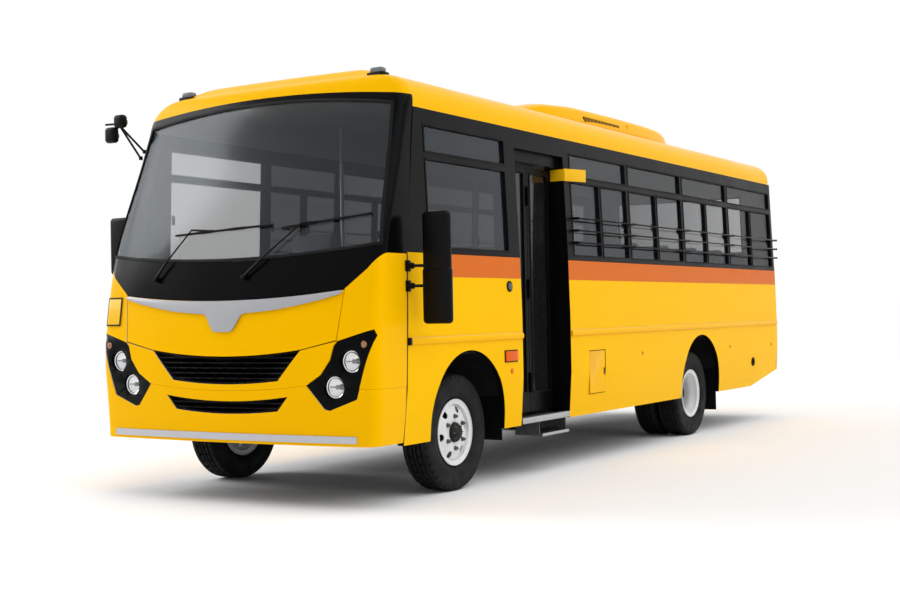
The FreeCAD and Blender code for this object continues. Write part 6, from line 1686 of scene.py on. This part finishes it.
@dataclass
class Benches:
    """Padded benches on tubular frames."""

    pitch: float = 0.720
    first: float = 3.150
    rows: int = 6
    aisle: float = 0.215
    width: float = 0.860
    depth: float = 0.400

    def pad(self, low: Point, high: Point, crown: float) -> Form:
        """One crowned pad between two corners.

        Args:
            low: the lowest corner.
            high: the highest corner.
            crown: how far its large faces swell.

        Returns:
            The form, ready to be placed.
        """
        form = Form()
        form.block(low, high)
        bmesh.ops.subdivide_edges(form.mesh, edges=list(form.mesh.edges), cuts=7,
                                  use_grid_fill=True)
        middle = (Vector(low) + Vector(high)) / 2
        size = (Vector(high) - Vector(low)) / 2
        thin = min(range(3), key=lambda axis: size[axis])
        wide = [axis for axis in range(3) if axis != thin]
        for vert in form.mesh.verts:
            shares = [(vert.co[axis] - middle[axis]) / size[axis] for axis in range(3)]
            swell = (1 - shares[wide[0]] ** 4) * (1 - shares[wide[1]] ** 4)
            vert.co[thin] += shares[thin] * crown * (swell - 0.45)
            for axis in wide:
                pull = 1 - 0.03 * abs(shares[thin]) ** 3 * abs(shares[axis])
                vert.co[axis] = middle[axis] + (vert.co[axis] - middle[axis]) * pull
        return form

    def build(self) -> None:
        """Make the pads of every row, the driver's seat and the frames."""
        cushions, backs = Form(), Form()
        for row in range(self.rows):
            front = self.first + self.pitch * row
            for side in (1, -1):
                near, far = sorted((self.aisle * side, (self.aisle + self.width) * side))
                half = (near + far) / 2
                for low_x, high_x in ((near + 0.004, half - 0.002), (half + 0.002, far - 0.004)):
                    self.add(cushions, self.pad((low_x, at(front), 1.204),
                                                (high_x, at(front + self.depth), 1.288), 0.016))
                    back = self.pad((low_x, at(front + self.depth) + 0.004, 1.210),
                                    (high_x, at(front + self.depth) + 0.066, 1.826), 0.012)
                    back.bend(lambda point, base=front: Vector((
                        point.x, point.y + 0.070 * (point.z - 1.2) / 0.63, point.z)))
                    self.add(backs, back)
        pad_level = 1
        for form, name, node, fill in ((cushions, "bench_cushions", "seat_cushions", 0.7),
                                       (backs, "bench_backs", None, 0.7)):
            piece = form.piece(name, Paint.VINYL, "body", "seat_vinyl",
                               (node,) if node else (), math.radians(60))
            smooth = piece.modifiers.new("foam", "SUBSURF")
            smooth.levels = smooth.render_levels = pad_level
        self.driver()
        panel("seat_frames", Paint.CHASSIS, 0.002)

    def driver(self) -> None:
        """The driver's padded seat on its box."""
        pads = Form()
        self.add(pads, self.pad((-0.818, at(1.332), 1.204), (-0.422, at(1.728), 1.288), 0.020))
        back = self.pad((-0.818, at(1.730), 1.206), (-0.422, at(1.796), 1.872), 0.016)
        back.bend(lambda point: Vector((point.x, point.y + 0.070 * (point.z - 1.2) / 0.67,
                                        point.z)))
        self.add(pads, back)
        piece = pads.piece("driver_pads", Paint.VINYL, "body", "seat_vinyl", ("driver_seat",),
                           math.radians(60))
        smooth = piece.modifiers.new("foam", "SUBSURF")
        smooth.levels = smooth.render_levels = 1
        box = Form()
        box.block((-0.715, at(1.362), 0.956), (-0.525, at(1.698), 1.203), 0.012, 3)
        box.piece("driver_seat_box", Paint.CHASSIS, "body", "seat_steel")

    @staticmethod
    def add(whole: Form, part: Form) -> None:
        """Join a form to a larger one."""
        data = bpy.data.meshes.new("joining")
        part.mesh.to_mesh(data)
        part.mesh.free()
        whole.mesh.from_mesh(data)
        bpy.data.meshes.remove(data)


@dataclass
class Cab:
    """Inside pieces that show through the windscreen and the door."""

    def build(self) -> None:
        """Make the dashboard, its controls, the dial hood and the poles."""
        panel("dashboard", Paint.PLASTIC, 0.018, 3)
        panel("driver_controls", Paint.PLASTIC, 0.0)
        cluster = Form()
        cluster.block((-0.80, at(0.42), 1.395), (-0.44, at(0.60), 1.470), 0.025, 3)
        cluster.piece("dial_hood", Paint.PLASTIC, "body", "black_plastic")
        poles = Form()
        for x, station, low, high in ((0.30, 2.05, 0.872, 2.70), (0.30, 2.82, 0.872, 2.70),
                                      (-0.36, 1.86, 0.872, 2.70)):
            poles.rod((x, at(station), low), (x, at(station), high), 0.016, 16)
        for x, station in ((0.30, 2.05), (0.30, 2.82), (-0.36, 1.86)):
            poles.rod((x, at(station), 0.871), (x, at(station), 0.880), 0.036, 20, bevel=0.003)
        poles.rod((0.30, at(2.82), 1.75), (0.99, at(2.82), 1.75), 0.014, 14)
        poles.piece("cabin_poles", Paint.ALLOY, "body", "trim_metal")


@dataclass
class Underbody:
    """Finishes of the running gear and the floor."""

    finishes: tuple[tuple[str, Paint], ...] = (
        ("front_axle", Paint.CHASSIS), ("knuckle_left", Paint.IRON),
        ("knuckle_right", Paint.IRON), ("tie_rod", Paint.CHASSIS), ("rear_axle", Paint.IRON),
        ("leaf_springs", Paint.SPRING), ("chassis_frame", Paint.CHASSIS),
        ("engine", Paint.IRON), ("prop_shaft", Paint.CHASSIS), ("fuel_tank", Paint.CHASSIS),
        ("floor", Paint.FLOOR), ("wheelhouses", Paint.CHASSIS), ("steps", Paint.PLATE),
        ("exhaust", Paint.EXHAUST))
    clamp_spots: tuple[Point, ...] = ((1.216, 0.400, 0.530), (5.625, 0.330, 0.530))
    clamp_legs: Pair = (0.318, 0.388)
    rivet_count: int = 50
    rivet_first: float = 0.300
    rivet_pitch: float = 0.150
    rivet_heights: Pair = (0.600, 0.680)
    strap_shares: Point = (0.18, 0.5, 0.82)

    def build(self) -> None:
        """Break the edges of every node, paint it and add the small fasteners."""
        for node, paint in self.finishes:
            panel(node, paint, 0.002)
        self.clamps()
        self.rivets()
        self.straps()

    def clamps(self) -> None:
        """U-bolts that hold the springs to both axles."""
        form = Form()
        for station, low, high in self.clamp_spots:
            for side in (1, -1):
                for ahead in (-0.050, 0.050):
                    y = at(station + ahead)
                    for across in self.clamp_legs:
                        form.rod((across * side, y, low), (across * side, y, high), 0.007, 10,
                                 bevel=0.002)
                        form.rod((across * side, y, low), (across * side, y, low + 0.012),
                                 0.012, 6, bevel=0.002)
                    inner, outer = (across * side for across in self.clamp_legs)
                    form.rod((inner, y, high), (outer, y, high), 0.007, 10)
        form.piece("spring_u_bolts", Paint.ZINC, "body", "cast_parts")

    def rivets(self) -> None:
        """Rivet heads along the webs of both chassis rails."""
        form = Form()
        for side in (1, -1):
            for step in range(self.rivet_count):
                y = at(self.rivet_first + step * self.rivet_pitch)
                for up in self.rivet_heights:
                    form.rod((0.378 * side, y, up), (0.386 * side, y, up), 0.010, 8,
                             far_radius=0.005)
        form.piece("chassis_rivets", Paint.CHASSIS, "body", "chassis_paint")

    def straps(self) -> None:
        """Steel straps and drain plug of the tank."""
        low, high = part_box("fuel_tank")
        form = Form()
        for share in self.strap_shares:
            y = low.y + (high.y - low.y) * share
            form.block((low.x - 0.004, y - 0.020, low.z - 0.004),
                       (low.x + 0.700, y + 0.020, low.z + 0.001), 0.001)
            form.block((low.x - 0.004, y - 0.020, low.z - 0.004),
                       (low.x + 0.001, y + 0.020, high.z - 0.030), 0.001)
        form.rod((low.x + 0.300, (low.y + high.y) / 2 + 0.200, low.z - 0.010),
                 (low.x + 0.300, (low.y + high.y) / 2 + 0.200, low.z + 0.004), 0.014, 6)
        form.piece("tank_straps", Paint.ZINC, "body", "chassis_paint")


@dataclass
class Studio:
    """Pale floor, soft lights and the camera."""

    place: Point = (5.879, -10.803, 1.237)
    azimuth: float = 31.334
    elevation: float = -0.520
    roll: float = -1.122
    lens: float = 53.65
    shift: float = -2.297 / 900
    sensor: float = 36.0
    reach: float = 200.0
    sun_power: float = 1.35
    sun_spread: float = 70.0
    sun_way: Point = (-0.22, 0.0, -0.36)
    softbox_place: Point = (-11.3, -6.5, 7.4)
    softbox_target: Point = (-1.0, -3.7, 2.0)
    softbox_size: float = 8.0
    softbox_power: float = 900.0
    floor_radius: float = 60.0
    floor_tones: tuple[str, str] = ("FCFCFC", "FAFAFA")
    fill: Pair = (0.36, 0.96)

    def build(self) -> None:
        """Make the floor, the lights, the world and the camera."""
        self.floor()
        self.world()
        self.sun()
        self.lamp("left_softbox", self.softbox_place, self.softbox_target, self.softbox_size,
                  self.softbox_power)
        self.camera()
        bpy.context.scene.view_settings.view_transform = "Standard"

    def sun(self) -> None:
        """A very wide, soft overhead light from the door side."""
        data = bpy.data.lights.new("overhead_light", "SUN")
        data.energy = self.sun_power
        data.angle = math.radians(self.sun_spread)
        lamp = bpy.data.objects.new("overhead_light", data)
        bpy.context.scene.collection.objects.link(lamp)
        lamp.rotation_euler = Vector(self.sun_way).to_track_quat("-Z", "Y").to_euler()

    def floor(self) -> None:
        """A wide pale floor that fades into the backdrop."""
        mesh = bmesh.new()
        bmesh.ops.create_circle(mesh, cap_ends=True, segments=96, radius=self.floor_radius)
        data = bpy.data.meshes.new("studio_floor")
        mesh.to_mesh(data)
        mesh.free()
        floor = bpy.data.objects.new("studio_floor", data)
        bpy.context.scene.collection.objects.link(floor)
        material = bpy.data.materials.new("pale_studio_floor")
        material.use_nodes = True
        tree = material.node_tree
        shader = tree.nodes["Principled BSDF"]
        place = add_node(tree, "ShaderNodeTexCoord").outputs["Object"]
        grain = add_node(tree, "ShaderNodeTexNoise", inputs={
            "Vector": place, "Scale": 1.2, "Detail": 2.0})
        tone = blend(tree, grain.outputs["Fac"], *map(linear, self.floor_tones))
        tree.links.new(tone, shader.inputs["Base Color"])
        shader.inputs["Roughness"].default_value = 0.9
        shader.inputs["Specular IOR Level"].default_value = 0.1
        data.materials.append(material)

    def world(self) -> None:
        """Soft white surroundings, plain white where the camera sees them."""
        world = bpy.data.worlds.new("studio")
        bpy.context.scene.world = world
        world.use_nodes = True
        tree = world.node_tree
        tree.nodes.clear()
        ray = add_node(tree, "ShaderNodeLightPath")
        way = add_node(tree, "ShaderNodeTexCoord").outputs["Generated"]
        axes = add_node(tree, "ShaderNodeSeparateXYZ", inputs={"Vector": way})
        power = add_node(tree, "ShaderNodeMapRange", inputs={
            "Value": axes.outputs["Y"], "From Min": -1.0, "From Max": 1.0,
            "To Min": self.fill[0], "To Max": self.fill[1]})
        fill = add_node(tree, "ShaderNodeBackground", inputs={
            "Color": (1.0, 1.0, 1.0, 1.0), "Strength": power.outputs["Result"]})
        white = add_node(tree, "ShaderNodeBackground", inputs={
            "Color": (1.0, 1.0, 1.0, 1.0), "Strength": 1.0})
        mirrored = reckon(tree, "MAXIMUM", ray.outputs["Is Glossy Ray"],
                          ray.outputs["Is Transmission Ray"])
        seen = reckon(tree, "MAXIMUM", ray.outputs["Is Camera Ray"], mirrored)
        mix = add_node(tree, "ShaderNodeMixShader", inputs={
            0: seen, 1: fill.outputs[0], 2: white.outputs[0]})
        add_node(tree, "ShaderNodeOutputWorld", inputs={"Surface": mix.outputs[0]})

    def lamp(self, name: str, place: Point, target: Point, size: float, power: float) -> None:
        """Add one soft area lamp.

        Args:
            name: the lamp's name.
            place: where it stands.
            target: what it points at.
            size: the side of its square.
            power: its power in watts.
        """
        data = bpy.data.lights.new(name, "AREA")
        data.size = size
        data.energy = power
        lamp = bpy.data.objects.new(name, data)
        bpy.context.scene.collection.objects.link(lamp)
        lamp.location = place
        lamp.rotation_euler = (Vector(target) - Vector(place)).to_track_quat("-Z", "Y").to_euler()

    def camera(self) -> None:
        """Stand the camera where the photograph was taken from."""
        turn, rise, roll = (math.radians(angle) for angle in
                            (self.azimuth, self.elevation, self.roll))
        back = Vector((math.sin(turn) * math.cos(rise), -math.cos(turn) * math.cos(rise),
                       math.sin(rise)))
        right = Vector((math.cos(turn), math.sin(turn), 0.0))
        up = right.cross(-back)
        rolled = right * math.cos(roll) + up * math.sin(roll)
        head = up * math.cos(roll) - right * math.sin(roll)
        data = bpy.data.cameras.new("photo_camera")
        data.lens = self.lens
        data.sensor_width = self.sensor
        data.shift_x = self.shift
        data.clip_end = self.reach
        camera = bpy.data.objects.new("photo_camera", data)
        bpy.context.scene.collection.objects.link(camera)
        matrix = Matrix((rolled, head, back)).transposed().to_4x4()
        matrix.translation = Vector(self.place)
        camera.matrix_world = matrix
        bpy.context.scene.camera = camera


@dataclass
class RunningGear:
    """Tyres and wheels of both axles."""

    front: float = at(1.216)
    rear: float = at(5.625)
    front_middle: float = 0.9485
    rear_middle: float = 0.8355
    twin: float = 0.1225
    front_disc: tuple[Pair, ...] = (
        (-0.016, 0.1965), (-0.008, 0.1940), (0.006, 0.1890), (0.011, 0.1760),
        (0.016, 0.1630), (0.021, 0.1500), (0.026, 0.1370), (0.028, 0.1300),
        (0.029, 0.1220), (0.029, 0.1000), (0.029, 0.0820), (0.026, 0.0700))
    rear_disc: tuple[Pair, ...] = (
        (0.048, 0.1960), (0.042, 0.1940), (0.028, 0.1890), (0.021, 0.1760),
        (0.014, 0.1630), (0.007, 0.1500), (0.001, 0.1370), (-0.001, 0.1300),
        (-0.0015, 0.1220), (-0.0015, 0.1000), (-0.0015, 0.0820), (-0.001, 0.0755))

    def build(self) -> None:
        """Make every tyre and wheel."""
        for side, name in ((1, "left"), (-1, "right")):
            near = self.front_middle * side
            pair = ((self.rear_middle + self.twin) * side, (self.rear_middle - self.twin) * side)
            Tyre(f"road_tyre_front_{name}", f"tyre_front_{name}", f"wheel_front_{name}",
                 (near,), self.front).build()
            Wheel(f"road_wheel_front_{name}", f"wheel_front_{name}", f"wheel_front_{name}",
                  side, (near,), near + 0.052 * side, self.front, self.front_disc,
                  0.072, 0.066).build()
            Tyre(f"road_tyres_rear_{name}", f"tyres_rear_{name}", f"wheels_rear_{name}",
                 pair, self.rear).build()
            Wheel(f"road_wheels_rear_{name}", f"wheels_rear_{name}", f"wheels_rear_{name}",
                  side, pair, (self.rear_middle + 0.012) * side, self.rear, self.rear_disc,
                  0.085, 0.074).build()


def main() -> None:
    """Build every sub-assembly in order."""
    for part in (BodyShell(), FrontTrim(), GuardBars(), Nose(), Wipers(), Mirrors(),
                 SideWindows(), Door(), RoofUnit(), SideFittings(), Tail(), Benches(), Cab(),
                 Underbody(), RunningGear()):
        LOG.info("building %s", type(part).__name__)
        part.build()
    Studio().build()


if __name__ == "__main__":
    main()
